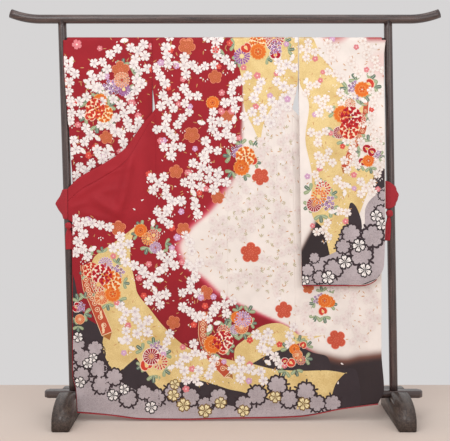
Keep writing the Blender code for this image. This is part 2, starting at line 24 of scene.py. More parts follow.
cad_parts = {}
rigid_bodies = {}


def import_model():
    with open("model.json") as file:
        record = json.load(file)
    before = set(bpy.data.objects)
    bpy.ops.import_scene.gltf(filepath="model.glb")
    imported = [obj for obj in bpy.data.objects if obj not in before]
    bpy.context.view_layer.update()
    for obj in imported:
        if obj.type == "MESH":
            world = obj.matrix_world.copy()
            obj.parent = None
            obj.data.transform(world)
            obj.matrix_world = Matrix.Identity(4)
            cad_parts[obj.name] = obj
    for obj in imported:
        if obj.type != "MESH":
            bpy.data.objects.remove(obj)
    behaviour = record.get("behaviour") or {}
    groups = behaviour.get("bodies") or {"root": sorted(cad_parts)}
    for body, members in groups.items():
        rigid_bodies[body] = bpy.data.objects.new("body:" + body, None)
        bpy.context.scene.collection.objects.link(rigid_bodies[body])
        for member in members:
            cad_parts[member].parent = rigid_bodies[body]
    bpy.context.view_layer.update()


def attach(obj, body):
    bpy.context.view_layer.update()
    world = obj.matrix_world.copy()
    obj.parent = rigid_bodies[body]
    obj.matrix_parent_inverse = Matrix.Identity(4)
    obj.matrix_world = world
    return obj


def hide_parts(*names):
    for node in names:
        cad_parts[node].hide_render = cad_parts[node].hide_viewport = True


for _item in list(bpy.data.objects):
    bpy.data.objects.remove(_item, do_unlink=True)
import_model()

log = logging.getLogger("kimono")

Array = np.ndarray
Mesh = bpy.types.Mesh
Tree = bpy.types.NodeTree
Node = bpy.types.Node
Socket = bpy.types.NodeSocket
Pair = tuple[float, float]
Outline = Sequence[Pair]

SEED = 7
SILK = 0.0012          # lined silk, pressed flat
PRINT_LIFT = 0.00045   # how far the lowest print stands off the ground cloth
PRINT_STEP = 0.00012   # and each layer of print above it
WEAVE_STEP = 0.0065    # spacing of the cloth's mesh
REGION_MESH = 0.008    # spacing of the mesh of a broad printed region
LEAF_YELLOW = "#dcbc78"
KNOT_GREY = "#b9adb0"
DYE_BLACK = "#352c2f"


# --- colour and shader helpers -------------------------------------------------------------------
def linear(code: str) -> tuple[float, float, float, float]:
    """Linear colour of an sRGB hex code.

    Args:
        code: "#rrggbb".

    Returns:
        Red, green, blue and alpha.
    """
    parts = [int(code[i:i + 2], 16) / 255.0 for i in (1, 3, 5)]
    red, green, blue = (c / 12.92 if c <= 0.04045 else ((c + 0.055) / 1.055) ** 2.4 for c in parts)
    return red, green, blue, 1.0


def add_node(tree: Tree, kind: str, inputs: dict | None = None, **settings: object) -> Node:
    """Adds a node with its settings, values and links.

    Args:
        tree: the node tree.
        kind: the node's type name.
        inputs: socket name or number to a value, or to an output socket to link from.
        settings: the node's own attributes.

    Returns:
        The node.
    """
    node = tree.nodes.new(kind)
    for name, value in settings.items():
        setattr(node, name, value)
    for key, value in (inputs or {}).items():
        if isinstance(value, Socket):
            tree.links.new(value, node.inputs[key])
        else:
            node.inputs[key].default_value = value
    return node


@dataclass(frozen=True)
class Finish:
    """A surface finish: its slot in the record, and what every finish sets on the shader."""

    name: str
    slot: str
    roughness: float = 0.5
    specular: float = 0.5
    sheen: float = 0.0
    coat: float = 0.0
    metallic: float = 0.0

    def material(self) -> bpy.types.Material:
        """The finish's material, made once."""
        made = bpy.data.materials.get(self.name)
        if made is None:
            made = bpy.data.materials.new(self.name)
            made.use_nodes = True
            tree = made.node_tree
            shader = tree.nodes["Principled BSDF"]
            for socket, value in (("Roughness", self.roughness), ("Specular IOR Level", self.specular),
                                  ("Metallic", self.metallic), ("Sheen Weight", self.sheen),
                                  ("Sheen Roughness", 0.4), ("Coat Weight", self.coat),
                                  ("Coat Roughness", 0.12)):
                shader.inputs[socket].default_value = value
            spots = add_node(tree, "ShaderNodeTexCoord").outputs["Object"]
            self.paint(tree, shader, spots)
        return made

    def paint(self, tree: Tree, shader: Node, spots: Socket) -> None:
        """Adds the finish's colour and relief."""

    @staticmethod
    def two_tone(tree: Tree, pattern: Socket, shade: str, colour: str, low: float = 0.0,
                 high: float = 1.0) -> Socket:
        """Colour that goes from a shade to a brighter one as a pattern rises from low to high."""
        share = add_node(tree, "ShaderNodeMapRange", {"Value": pattern, "From Min": low, "From Max": high})
        mixed = add_node(tree, "ShaderNodeMix", {0: share.outputs[0], 6: linear(shade), 7: linear(colour)},
                         data_type="RGBA")
        return mixed.outputs[2]

    @staticmethod
    def uneven(tree: Tree, colour: Socket, spots: Socket, scale: float, detail: float, low: float,
               high: float) -> Socket:
        """Colour made a little lighter and darker in soft clouds, as hand-brushed dye is."""
        cloud = add_node(tree, "ShaderNodeTexNoise", {"Vector": spots, "Scale": scale, "Detail": detail})
        spread = add_node(tree, "ShaderNodeMapRange", {"Value": cloud.outputs["Fac"], "From Min": 0.3,
                                                       "From Max": 0.7, "To Min": low, "To Max": high})
        shade = add_node(tree, "ShaderNodeVectorMath", {0: colour, 3: spread.outputs[0]}, operation="SCALE")
        return shade.outputs[0]

    @staticmethod
    def crepe(tree: Tree, shader: Node, spots: Socket, depth: float) -> None:
        """Crepe silk: twisted weft threads give a fine pebbled ripple, 2 mm here so that it shows."""
        ripple = add_node(tree, "ShaderNodeTexNoise", {"Vector": spots, "Scale": 520.0, "Detail": 2.0})
        cloud = add_node(tree, "ShaderNodeTexNoise", {"Vector": spots, "Scale": 9.0, "Detail": 3.0})
        both = add_node(tree, "ShaderNodeMath", {0: ripple.outputs["Fac"], 1: cloud.outputs["Fac"]},
                        operation="ADD")
        bump = add_node(tree, "ShaderNodeBump", {"Height": both.outputs[0], "Strength": depth,
                                                 "Distance": 0.0012})
        tree.links.new(bump.outputs["Normal"], shader.inputs["Normal"])


@dataclass(frozen=True)
class DyedSilk(Finish):
    """Crepe silk dyed by hand: its colour is brushed on, so it is read from the cloth's own tint."""

    def paint(self, tree: Tree, shader: Node, spots: Socket) -> None:
        """Tint from the mesh, in soft clouds 70 mm across."""
        tint = add_node(tree, "ShaderNodeAttribute", attribute_name="tint").outputs["Color"]
        tree.links.new(self.uneven(tree, tint, spots, 14.0, 4.0, 0.94, 1.05), shader.inputs["Base Color"])
        self.crepe(tree, shader, spots, 0.35)


@dataclass(frozen=True)
class PlainSilk(Finish):
    """Silk of one dye, such as the lining: smooth, with a faint cloud in its colour."""

    colour: str = field(kw_only=True)
    shade: str = field(kw_only=True)

    def paint(self, tree: Tree, shader: Node, spots: Socket) -> None:
        """Two close shades in soft clouds 45 mm across."""
        cloud = add_node(tree, "ShaderNodeTexNoise", {"Vector": spots, "Scale": 22.0, "Detail": 4.0})
        tree.links.new(self.two_tone(tree, cloud.outputs["Fac"], self.shade, self.colour),
                       shader.inputs["Base Color"])
        self.crepe(tree, shader, spots, 0.3)


@dataclass(frozen=True)
class LiningSilk(Finish):
    """Fine lining silk: white above, dyed red towards the foot of the garment."""

    def paint(self, tree: Tree, shader: Node, spots: Socket) -> None:
        """White that turns red between 0.72 and 0.60 m up."""
        height = add_node(tree, "ShaderNodeSeparateXYZ", {0: spots}).outputs["Z"]
        cloud = add_node(tree, "ShaderNodeTexNoise", {"Vector": spots, "Scale": 12.0, "Detail": 3.0})
        waved = add_node(tree, "ShaderNodeMath", {0: cloud.outputs["Fac"], 1: 0.08, 2: height},
                         operation="MULTIPLY_ADD")
        tree.links.new(self.two_tone(tree, waved.outputs[0], "#a93840", "#e8dcd8", 0.62, 0.76),
                       shader.inputs["Base Color"])
        self.crepe(tree, shader, spots, 0.15)


@dataclass(frozen=True)
class LeafedSilk(Finish):
    """Gold powder pressed into paste on silk: a soft yellow with fine bright and dull flecks."""

    def paint(self, tree: Tree, shader: Node, spots: Socket) -> None:
        """Flecks 2 to 3 mm across, and worn clouds 60 mm across."""
        fleck = add_node(tree, "ShaderNodeTexNoise", {"Vector": spots, "Scale": 330.0, "Detail": 2.0})
        mottled = add_node(tree, "ShaderNodeTexNoise", {"Vector": spots, "Scale": 16.0, "Detail": 5.0})
        both = add_node(tree, "ShaderNodeMath", {0: fleck.outputs["Fac"], 1: mottled.outputs["Fac"]},
                        operation="MULTIPLY")
        tree.links.new(self.two_tone(tree, both.outputs[0], "#d6b572", "#efd596", 0.14, 0.36),
                       shader.inputs["Base Color"])
        self.crepe(tree, shader, spots, 0.5)


@dataclass(frozen=True)
class ShiboriSilk(Finish):
    """Tie-dyed grey: each knot leaves a pale ring round a dark point, in rows 5 mm apart."""

    def paint(self, tree: Tree, shader: Node, spots: Socket) -> None:
        """Rings from the distance to the nearest knot, which also stand up as soft points."""
        knots = add_node(tree, "ShaderNodeTexVoronoi", {"Vector": spots, "Scale": 190.0,
                                                        "Randomness": 0.35})
        ring = add_node(tree, "ShaderNodeMapRange", {"Value": knots.outputs["Distance"], "From Min": 0.12,
                                                     "From Max": 0.42})
        colour = self.two_tone(tree, ring.outputs[0], "#8d7f82", "#b9adb0")
        tree.links.new(self.uneven(tree, colour, spots, 18.0, 3.0, 0.9, 1.06), shader.inputs["Base Color"])
        bump = add_node(tree, "ShaderNodeBump", {"Height": ring.outputs[0], "Strength": 0.5,
                                                 "Distance": 0.001})
        tree.links.new(bump.outputs["Normal"], shader.inputs["Normal"])


@dataclass(frozen=True)
class StainedWood(Finish):
    """Dark-stained hardwood under clear lacquer: long grain, pores and a broken gloss."""

    grain: tuple[float, float, float] = (160.0, 160.0, 9.0)
    colour: str = "#5a4742"
    shade: str = "#33292a"

    def paint(self, tree: Tree, shader: Node, spots: Socket) -> None:
        """Streaks stretched along the grain, darker pores, and pale specks painted in as highlights on the
        lacquer.
        """
        along_grain = add_node(tree, "ShaderNodeMapping", {"Vector": spots, "Scale": self.grain})
        streak = add_node(tree, "ShaderNodeTexNoise", {"Vector": along_grain.outputs[0], "Scale": 1.0,
                                                       "Detail": 6.0, "Roughness": 0.62})
        speck = add_node(tree, "ShaderNodeTexNoise", {"Vector": spots, "Scale": 300.0, "Detail": 2.0})
        stained = self.two_tone(tree, streak.outputs["Fac"], self.shade, self.colour, 0.36, 0.66)
        # Painted highlights: pale specks mixed into the stain's base colour where the lacquer's gloss would
        # catch the light.
        pale = add_node(tree, "ShaderNodeMapRange", {"Value": speck.outputs["Fac"], "From Min": 0.62,
                                                     "From Max": 0.74, "To Max": 0.5})
        mottled = add_node(tree, "ShaderNodeMix", {0: pale.outputs[0], 6: stained,
                                                7: linear("#8a7468")}, data_type="RGBA")
        tree.links.new(mottled.outputs[2], shader.inputs["Base Color"])
        gloss = add_node(tree, "ShaderNodeMapRange", {"Value": speck.outputs["Fac"], "From Min": 0.3,
                                                      "From Max": 0.7, "To Min": 0.24, "To Max": 0.46})
        tree.links.new(gloss.outputs[0], shader.inputs["Roughness"])
        bump = add_node(tree, "ShaderNodeBump", {"Height": streak.outputs["Fac"], "Strength": 0.25,
                                                 "Distance": 0.0008})
        tree.links.new(bump.outputs["Normal"], shader.inputs["Normal"])


@dataclass(frozen=True)
class StudioPaint(Finish):
    """Matt paper of the studio's floor."""

    colour: str = field(kw_only=True)

    def paint(self, tree: Tree, shader: Node, spots: Socket) -> None:
        """One flat pale colour."""
        shader.inputs["Base Color"].default_value = linear(self.colour)


GROUND = DyedSilk("dyed_crepe_silk", "figured_silk", roughness=0.6, specular=0.18, sheen=0.1)
BAND = DyedSilk("dyed_band_silk", "red_silk", roughness=0.6, specular=0.18, sheen=0.1)
PRINTED = DyedSilk("painted_crepe_silk", "figured_silk", roughness=0.6, specular=0.2, sheen=0.1)
GOLD = LeafedSilk("gold_leafed_silk", "figured_silk", roughness=0.5, specular=0.5, metallic=0.15)
KNOTTED = ShiboriSilk("knot_dyed_silk", "figured_silk", roughness=0.7, specular=0.2)
BLACK = PlainSilk("black_dyed_silk", "figured_silk", roughness=0.6, specular=0.25, colour="#40353a",
                  shade="#352c2f")
RED_SILK = PlainSilk("red_crepe_silk", "red_silk", roughness=0.6, specular=0.2, sheen=0.1,
                     colour="#ae2f38", shade="#a02a34")
LINING = LiningSilk("silk_lining", "figured_silk", roughness=0.45, specular=0.35)
EDGED = (GROUND, LINING, RED_SILK)     # a panel's outside, inside and rim
UPRIGHT_WOOD = StainedWood("stained_wood_upright", "lacquered_wood", specular=0.5, coat=0.35)
LEVEL_WOOD = StainedWood("stained_wood_level", "lacquered_wood", specular=0.5, coat=0.35,
                         grain=(9.0, 160.0, 160.0))
FOOT_WOOD = StainedWood("stained_wood_foot", "lacquered_wood", specular=0.4, coat=0.15,
                        grain=(120.0, 9.0, 120.0), colour="#574a43", shade="#352c29")
FLOOR = StudioPaint("studio_floor", "", roughness=0.8, specular=0.2, colour="#dccdc2")


# --- how the cloth hangs -------------------------------------------------------------------------
def millimetres(*rows: Sequence[float]) -> tuple:
    """Rows of whole millimetres, given in metres."""
    return tuple(tuple(value / 1000.0 for value in row) for row in rows)


def ease(share: Array | float) -> Array:
    """0..1 with no corner at either end."""
    share = np.clip(share, 0.0, 1.0)
    return share * share * (3.0 - 2.0 * share)


def mix(low: Array | float, high: Array | float, share: Array | float) -> Array | float:
    """The value a share of the way from low to high."""
    return low + (high - low) * share


@dataclass(frozen=True)
class Profile:
    """Smooth curve through a short table of (at, value) rows, level where the values turn back."""

    rows: tuple[Pair, ...]

    def __call__(self, at: Array | float) -> Array:
        """The curve's value at a place, or at each of several."""
        table = np.array(sorted(self.rows), float)
        spots, values = table[:, 0], table[:, 1]
        at = np.clip(at, spots[0], spots[-1])
        slopes = np.diff(values) / np.diff(spots)
        before, after = slopes[:-1], slopes[1:]
        total = np.where(np.abs(before + after) < 1e-12, 1.0, before + after)
        inner = np.where(before * after > 0.0, 2.0 * before * after / total, 0.0)
        ends = np.concatenate((slopes[:1], inner, slopes[-1:]))
        i = np.clip(np.searchsorted(spots, at, side="right") - 1, 0, len(slopes) - 1)
        run = spots[i + 1] - spots[i]
        t = (at - spots[i]) / run
        value = values[i] + (values[i + 1] - values[i]) * t * t * (3.0 - 2.0 * t)
        return value + run * (t * (1.0 - t) ** 2 * ends[i] - t * t * (1.0 - t) * ends[i + 1])


class Side(Enum):
    """A side of the garment as its back is seen, with the sign of its x."""

    LEFT = -1
    RIGHT = 1

    @property
    def word(self) -> str:
        """The side's word in the names of the model's nodes."""
        return self.name.lower()


@dataclass(frozen=True)
class Fold:
    """A soft ridge in hanging cloth: where it starts and ends, its half width and its height."""

    top: Pair
    low: Pair
    half_width: float
    height: float

    def rise(self, x: Array, z: Array) -> Array:
        """How far the ridge lifts the cloth at each place."""
        run = np.subtract(self.low, self.top)
        length = float(np.hypot(*run))
        ahead = run / length
        down = (x - self.top[0]) * ahead[0] + (z - self.top[1]) * ahead[1]
        off = (x - self.top[0]) * ahead[1] - (z - self.top[1]) * ahead[0]
        fade = ease(down / (0.35 * length)) * ease((length * 1.15 - down) / (0.35 * length))
        return self.height * np.exp(-(off / self.half_width) ** 2) * fade


@dataclass(frozen=True)
class Tuck:
    """A fold that laps: the cloth steps forward across a line that runs from z low to z high."""

    line: Profile          # z to x
    low: float
    high: float
    step: float
    width: float
    reach: float

    def rise(self, x: Array, z: Array) -> Array:
        """How far the lapping side stands forward, falling away over its reach."""
        off = x - self.line(z)
        fade = ease((z - self.low) / 0.05) * ease((self.high - z) / 0.05)
        up = ease(off / self.width + 0.5)
        away = np.exp(-(np.maximum(off, 0.0) / self.reach) ** 2)
        dip = 0.45 * np.exp(-((off + self.width) / (1.6 * self.width)) ** 2)
        return self.step * fade * (up * away - dip)


def curve(*rows: Sequence[float]) -> Profile:
    """Profile through rows of millimetres."""
    return Profile(millimetres(*rows))


def ridges(*rows: Sequence[float]) -> tuple[Fold, ...]:
    """Folds from rows of millimetres: top x and z, low x and z, half width and height."""
    return tuple(Fold((x, z), (low_x, low_z), wide, high)
                 for x, z, low_x, low_z, wide, high in millimetres(*rows))


def both(left: object, right: object) -> dict[Side, object]:
    """A field of one value for each side."""
    return field(default_factory=lambda: {Side.LEFT: left, Side.RIGHT: right})


@dataclass(frozen=True)
class Drape:
    """The surfaces that the cloth hangs in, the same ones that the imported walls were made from."""

    top: float = 1.567
    fold_r: float = 0.013
    wall: float = 0.002
    centre: float = 0.01
    hem_forward: float = 0.04
    collar_wide: float = 0.055
    front_reach: float = 0.64
    sleeve_low: float = 0.561
    corner_r: float = 0.095
    closed: float = 0.0014
    cuff_open: float = 0.23
    lap_spread: float = 0.0066
    post_x: float = 0.663
    post_r: float = 0.017
    post_lean: float = 0.0352
    rail_z: float = 1.64
    bar_top: float = 0.115
    hem: Profile = curve((-612, 40), (-480, 29), (-330, 12), (-160, 10.5), (0, 15), (200, 18), (310, 23),
                         (480, 54), (632, 74))
    edges: dict[Side, Profile] = both(
        curve((40, -605), (85, -607.5), (128, -610), (190, -623.5), (810, -624.3)),
        curve((74, 626.5), (130, 650), (290, 639.2), (860, 639.2)))
    okumi: dict[Side, Profile] = both(
        curve((27, -482), (400, -500), (620, -548), (810, -619.5)),
        curve((58, 506), (400, 510), (640, 562), (860, 634.5)))
    seams: dict[Side, tuple[Pair, ...]] = both(
        millimetres((12, -269.5), (1276, -284.5), (1394, -296), (1567, -296)),
        millimetres((22, 294), (1278, 275), (1404, 298), (1567, 298)))
    free: dict[Side, Profile] = both(
        curve((-641, 952), (-595, 996), (-500, 1050), (-410, 1112), (-345, 1200), (-286, 1272)),
        curve((277, 1274), (345, 1196), (410, 1122), (500, 1058), (595, 1004), (644, 986)))
    sleeve_outer: dict[Side, Profile] = both(
        curve((561, -612), (980, -627), (1090, -630.6), (1270, -644), (1470, -655), (1567, -656)),
        curve((561, 642), (735, 649), (1470, 645), (1567, 652)))
    sleeve_seam_right: Profile = curve((561, 312), (1250, 300.3), (1567, 298.3))
    near_wall: dict[Side, Profile] = both(
        curve((561, 4), (1230, -5.5), (1400, -13), (1553, -13)),
        curve((561, -61), (950, -49), (1230, -40.5), (1420, -14.5), (1553, -13)))
    far_wall: dict[Side, Profile] = both(
        curve((561, 14), (1230, 15), (1400, 14), (1553, 13)),
        curve((561, -48), (950, -33.5), (1230, -25), (1420, 13), (1553, 13)))
    folds: tuple[Fold, ...] = ridges(
        (-372, 1130, -432, 860, 21, 20), (-560, 930, -420, 840, 22, 12), (-350, 700, -330, 100, 45, 6),
        (-150, 800, -170, 90, 50, 5.5), (60, 700, 80, 100, 55, 4.5), (270, 1200, 190, 700, 35, 4),
        (380, 520, 395, 110, 40, 6), (512, 500, 508, 120, 26, 6), (-545, 600, -550, 130, 35, 5))
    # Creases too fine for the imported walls: across the swath, and down from the right arm.
    creases: tuple[Fold, ...] = ridges(
        (-505, 1015, -385, 1035, 11, 3.6), (-520, 935, -400, 955, 13, 4.2),
        (-640, 870, -560, 895, 10, 3), (-610, 862, -455, 822, 14, 4.6), (-630, 905, -500, 985, 13, 3.8),
        (180, 1260, 205, 960, 9, 3.4), (215, 1280, 250, 1010, 9, 3.6), (245, 1225, 292, 930, 9, 4),
        (150, 1180, 270, 800, 15, 4), (262, 1100, 290, 780, 11, 3.2), (-255, 1250, -235, 950, 12, 2),
        (440, 520, 450, 140, 16, 2.2), (580, 560, 590, 150, 18, 2.4), (-60, 600, -50, 60, 20, 1.6),
        (210, 420, 215, 60, 18, 1.6), (-430, 420, -440, 60, 16, 1.8))
    tucks: tuple[Tuck, ...] = (
        Tuck(curve((1125, -372), (1090, -384), (1000, -392), (950, -402), (870, -430)),
             0.86, 1.16, 0.0048, 0.016, 0.05),)

    @property
    def pole(self) -> float:
        """Height of the pole's axis, where the cloth leaves the vertical to pass over it."""
        return self.top - self.fold_r - self.wall / 2

    @property
    def far_start(self) -> float:
        """Length w at which the cloth has come over the pole."""
        return self.pole + math.pi * self.fold_r

    def over_pole(self, w: Array) -> tuple[Array, Array, Array]:
        """Angle round the pole, length past it, and height, at each length w."""
        turn = np.clip(w - self.pole, 0.0, math.pi * self.fold_r) / self.fold_r
        past = np.maximum(w - self.far_start, 0.0)
        return turn, past, np.where(w <= self.pole, w, self.pole + self.fold_r * np.sin(turn)) - past

    def mirrored(self, w: Array) -> Array:
        """The length on the far side at the height of a length on the near side, and back."""
        return self.far_start + self.pole - w

    def dye_height(self, w: Array) -> Array:
        """Height at which the dyer's pattern is read for each length w."""
        return np.minimum(np.where(w > self.far_start, self.pole - (w - self.far_start), w), self.top)

    def chest_edge(self, side: Side, z: Array) -> Array:
        """x of the slanting seam between an upper front and its collar."""
        return self.centre + side.value * mix(0.252, 0.088, (z - 1.18) / (self.pole - 1.18))

    def post(self, side: Side, z: Array | float) -> Array | float:
        """x of a leaning post's axis."""
        return side.value * self.post_x + self.post_lean * (self.rail_z - z) / (self.rail_z - self.bar_top)

    def side_seam(self, side: Side, z: Array | float) -> Array:
        """x of a side seam, straight up to the arm opening."""
        rows = self.seams[side]
        (low_z, low_x), (high_z, high_x) = rows[:2]
        straight = low_x + (high_x - low_x) * (np.asarray(z, float) - low_z) / (high_z - low_z)
        return np.where(np.asarray(z) <= high_z, straight, Profile(rows[1:])(z))

    def collar_share(self, x: Array) -> Array:
        """Share of the collar's width, which narrows where it comes through under the arm."""
        return mix(0.45, 1.0, ease((np.abs(x) - 0.285) / 0.1))

    def skirt_depth(self, x: Array, z: Array) -> Array:
        """y of the spread back and fronts, with their folds and fine creases."""
        drop = np.maximum(self.pole - z, 0.0) / self.pole
        depth = -(self.fold_r + self.hem_forward * drop ** 1.5)
        for part in self.folds + self.creases + self.tucks:
            depth = depth - part.rise(x, z)
        lines = [self.centre, self.side_seam(Side.LEFT, z), self.side_seam(Side.RIGHT, z)]
        lines += [self.okumi[Side.LEFT](z), self.okumi[Side.RIGHT](z)]
        for line in lines:
            depth = depth + 0.0007 * np.exp(-((x - line) / 0.0022) ** 2)
        return depth

    def body(self, x: Array, w: Array) -> Array:
        """Points of the body's cloth, up the near side and over the pole."""
        turn, past, z = self.over_pole(w)
        near_y = self.skirt_depth(x, np.minimum(w, self.pole))
        y = np.where(w <= self.pole, near_y, -self.fold_r * np.cos(turn))
        chest = mix(-0.012, self.fold_r, ease((z - 1.175) / 0.16))
        return np.stack([x, np.where(past > 0.0, chest, y), z], axis=-1)

    def sleeve_edges(self, side: Side, z: Array, near: bool) -> tuple[Array, Array]:
        """x of a sleeve's seam side and outer edge."""
        outer = self.sleeve_outer[side](z)
        if side is Side.LEFT:
            inner = np.full_like(outer, -0.2963)
            limit = self.post(side, z) + self.post_r + 0.0025
            return inner, outer if near else np.maximum(outer, limit)
        limit = self.post(side, z) - self.post_r - 0.0025
        return self.sleeve_seam_right(z), outer if near else np.minimum(outer, limit)

    def sleeve_depth(self, side: Side, x: Array, z: Array, near: bool) -> Array:
        """y of a sleeve's near or far wall: spread at the pole, closed at its sewn edges."""
        front, back = self.near_wall[side](z), self.far_wall[side](z)
        spread = self.lap_spread * ease((np.abs(x) - 0.45) / 0.17)
        reach = ease((z - 1.23) / 0.16)
        back = back + spread * reach
        if side is Side.LEFT:
            edge = ease((np.abs(x) - 0.56) / 0.05) * ease((z - 1.02) / 0.06)
            front = mix(front, -self.fold_r, edge)
            reach = np.maximum(reach, edge)
        front = front - spread * reach
        if near:
            return front
        gap = np.maximum(side.value * (self.sleeve_outer[side](z) - x), 0.0)
        sewn = ease((self.top - self.cuff_open - z) / 0.08)
        shut = np.minimum(ease((z - self.sleeve_low) / 0.05), mix(1.0, ease(gap / 0.05), sewn))
        return mix(front + 2.0 * self.closed, back, np.sqrt(shut))

    def sleeve(self, side: Side, x: Array, w: Array) -> Array:
        """Points of a sleeve's cloth: up the near wall, over the pole, down the far wall."""
        wide = self.lap_spread * ease((np.abs(x) - 0.45) / 0.17)
        turn, past, z = self.over_pole(w)
        y = -(self.fold_r + wide) * np.cos(turn)
        y = np.where(w <= self.pole, self.sleeve_depth(side, x, np.minimum(z, self.pole), True), y)
        y = np.where(past > 0.0, self.sleeve_depth(side, x, np.minimum(z, self.pole), False), y)
        ripple = 0.0012 * np.sin(34.0 * x + 2.0 * side.value) * ease((1.45 - w) / 0.3)
        ripple *= ease((w - self.sleeve_low - 0.01) / 0.15)
        return np.stack([x, y + np.where(w <= self.pole, ripple, 0.0), z], axis=-1)

    def sleeve_bottom(self, side: Side, x: Array) -> Array:
        """z of a sleeve's lower edge, rounded at its outer corner."""
        centre = abs(float(self.sleeve_outer[side](0.64))) - self.corner_r
        over = np.clip(np.abs(x) - centre, 0.0, self.corner_r)
        return self.sleeve_low + self.corner_r - np.sqrt(self.corner_r ** 2 - over ** 2)


DRAPE = Drape()
Surface = Callable[[Array, Array], Array]


def outward(surface: Surface, x: Array, w: Array) -> Array:
    """Unit normal of a draped surface on the side that faces away from the pole."""
    step = 0.0008
    across = surface(x + step, w) - surface(x - step, w)
    up = surface(x, w + step) - surface(x, w - step)
    normal = np.cross(across, up)
    return normal / np.maximum(np.linalg.norm(normal, axis=-1, keepdims=True), 1e-12)


# --- mesh making ---------------------------------------------------------------------------------
def placed(name: str, data: bpy.types.ID) -> bpy.types.Object:
    """A new object in the scene, at the origin, that shows a mesh, a light or a camera."""
    made = bpy.data.objects.new(name, data)
    bpy.context.scene.collection.objects.link(made)
    return made


@contextmanager
def opened(mesh: Mesh) -> Iterator[bmesh.types.BMesh]:
    """A mesh opened for an edit, and written back after it."""
    form = bmesh.new()
    form.from_mesh(mesh)
    yield form
    form.to_mesh(mesh)
    form.free()


def quads(rows: int, columns: int, closed: bool = True) -> list[list[int]]:
    """Faces of a grid of points, whose rows may close into rings."""
    return [[r * columns + k, r * columns + (k + 1) % columns,
             (r + 1) * columns + (k + 1) % columns, (r + 1) * columns + k]
            for r in range(rows - 1) for k in range(columns if closed else columns - 1)]


@dataclass
class Workshop:
    """Makes pieces, hangs them on the model's one body, and counts them."""

    body: str = "root"
    made: list[str] = field(default_factory=list)

    def piece(self, name: str, mesh: Mesh, finishes: Sequence[Finish],
              nodes: Sequence[str] = ()) -> bpy.types.Object:
        """Makes an object of a finished mesh, in place of the named nodes.

        Args:
            name: the piece's name.
            mesh: its mesh, in place.
            finishes: one for each of the mesh's material numbers.
            nodes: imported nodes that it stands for.

        Returns:
            The piece.
        """
        for finish in finishes:
            mesh.materials.append(finish.material())
        mesh.shade_smooth()
        made = placed(name, mesh)
        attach(made, self.body)
        if nodes:
            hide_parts(*nodes)
        self.made.append(name)
        log.info("%s: %d faces", name, len(mesh.polygons))
        return made


def mesh_of(name: str, points: Array, faces: Sequence, tints: Array | None = None,
            kinds: Array | None = None) -> Mesh:
    """A mesh from its points and faces.

    Args:
        name: the mesh's name.
        points: one row of x, y and z for each point.
        faces: one list of point numbers for each face.
        tints: a linear colour for each point.
        kinds: a material number for each face.

    Returns:
        The mesh.
    """
    mesh = bpy.data.meshes.new(name)
    mesh.from_pydata(points.tolist(), [], [list(f) for f in faces])
    if tints is not None:
        tint = mesh.color_attributes.new("tint", "FLOAT_COLOR", "POINT")
        tint.data.foreach_set("color", np.asarray(tints, np.float32).ravel())
    if kinds is not None:
        mesh.polygons.foreach_set("material_index", np.asarray(kinds, np.int32))
    mesh.update()
    return mesh


def cloth_mesh(name: str, surface: Surface, x: Array, w: Array, dye: Callable,
               thick: float = SILK, keep: Array | None = None, level: bool = True) -> Mesh:
    """Two close layers of draped cloth with a rim: the outer one is dyed, the inner one is lining.

    Args:
        name: the mesh's name.
        surface: where the cloth hangs.
        x: grid of places across.
        w: grid of lengths up the cloth, with its rows running upwards.
        dye: gives the linear colours of places (x, w).
        thick: how far apart the layers are.
        keep: which cells of the grid are cloth.
        level: whether both layers keep the same x, so that panels meet at their seams.

    Returns:
        The mesh, with material 0 outside, 1 inside and 2 at the rim.
    """
    rows, columns = x.shape
    middle = surface(x, w)
    off = outward(surface, x, w)
    if level:
        off[..., 0] = 0.0
    off /= np.linalg.norm(off, axis=-1, keepdims=True)
    keep = np.ones((rows - 1, columns - 1), bool) if keep is None else keep
    outer = (middle + off * thick / 2).reshape(-1, 3)
    inner = (middle - off * thick / 2).reshape(-1, 3)
    number = np.arange(rows * columns).reshape(rows, columns)
    shift = rows * columns
    a, b = number[:-1, :-1][keep], number[:-1, 1:][keep]
    c, d = number[1:, 1:][keep], number[1:, :-1][keep]
    turned = x[0, -1] < x[0, 0]
    loop = np.stack([a, d, c, b] if turned else [a, b, c, d], axis=-1)
    faces = [loop, loop[:, ::-1] + shift]
    kinds = [np.zeros(len(loop)), np.ones(len(loop))]
    pad = np.pad(keep, 1)
    sides = ((pad[:-2, 1:-1], 0, 1), (pad[1:-1, 2:], 1, 2), (pad[2:, 1:-1], 2, 3), (pad[1:-1, :-2], 3, 0))
    corner = (number[:-1, :-1], number[:-1, 1:], number[1:, 1:], number[1:, :-1])
    for beyond, i, j in sides:
        rim = keep & ~beyond
        p, q = corner[i][rim], corner[j][rim]
        wall = np.stack([q, p, p + shift, q + shift], axis=-1)
        faces.append(wall[:, ::-1] if turned else wall)
        kinds.append(np.full(len(wall), 2))
    tints = np.concatenate([dye(x, w).reshape(-1, 4)] * 2)
    return tidy(mesh_of(name, np.concatenate([outer, inner]), np.concatenate(faces), tints,
                        np.concatenate(kinds)))


def tidy(mesh: Mesh) -> Mesh:
    """Removes points that no face uses."""
    with opened(mesh) as form:
        bmesh.ops.delete(form, geom=[v for v in form.verts if not v.link_faces], context="VERTS")
    return mesh


# --- flowers, drawn flat at unit size ------------------------------------------------------------
@dataclass(frozen=True, eq=False)
class Shape:
    """A flat patch of one dye: its outline round the motif's middle, its colour and its layer."""

    outline: Array
    tint: str
    layer: float


def turned(outline: Array, turn: float, size: float = 1.0, at: Pair = (0.0, 0.0)) -> Array:
    """An outline turned anticlockwise, sized, and moved."""
    c, s = math.cos(turn), math.sin(turn)
    return outline @ np.array([[c, s], [-s, c]]) * size + np.array(at)


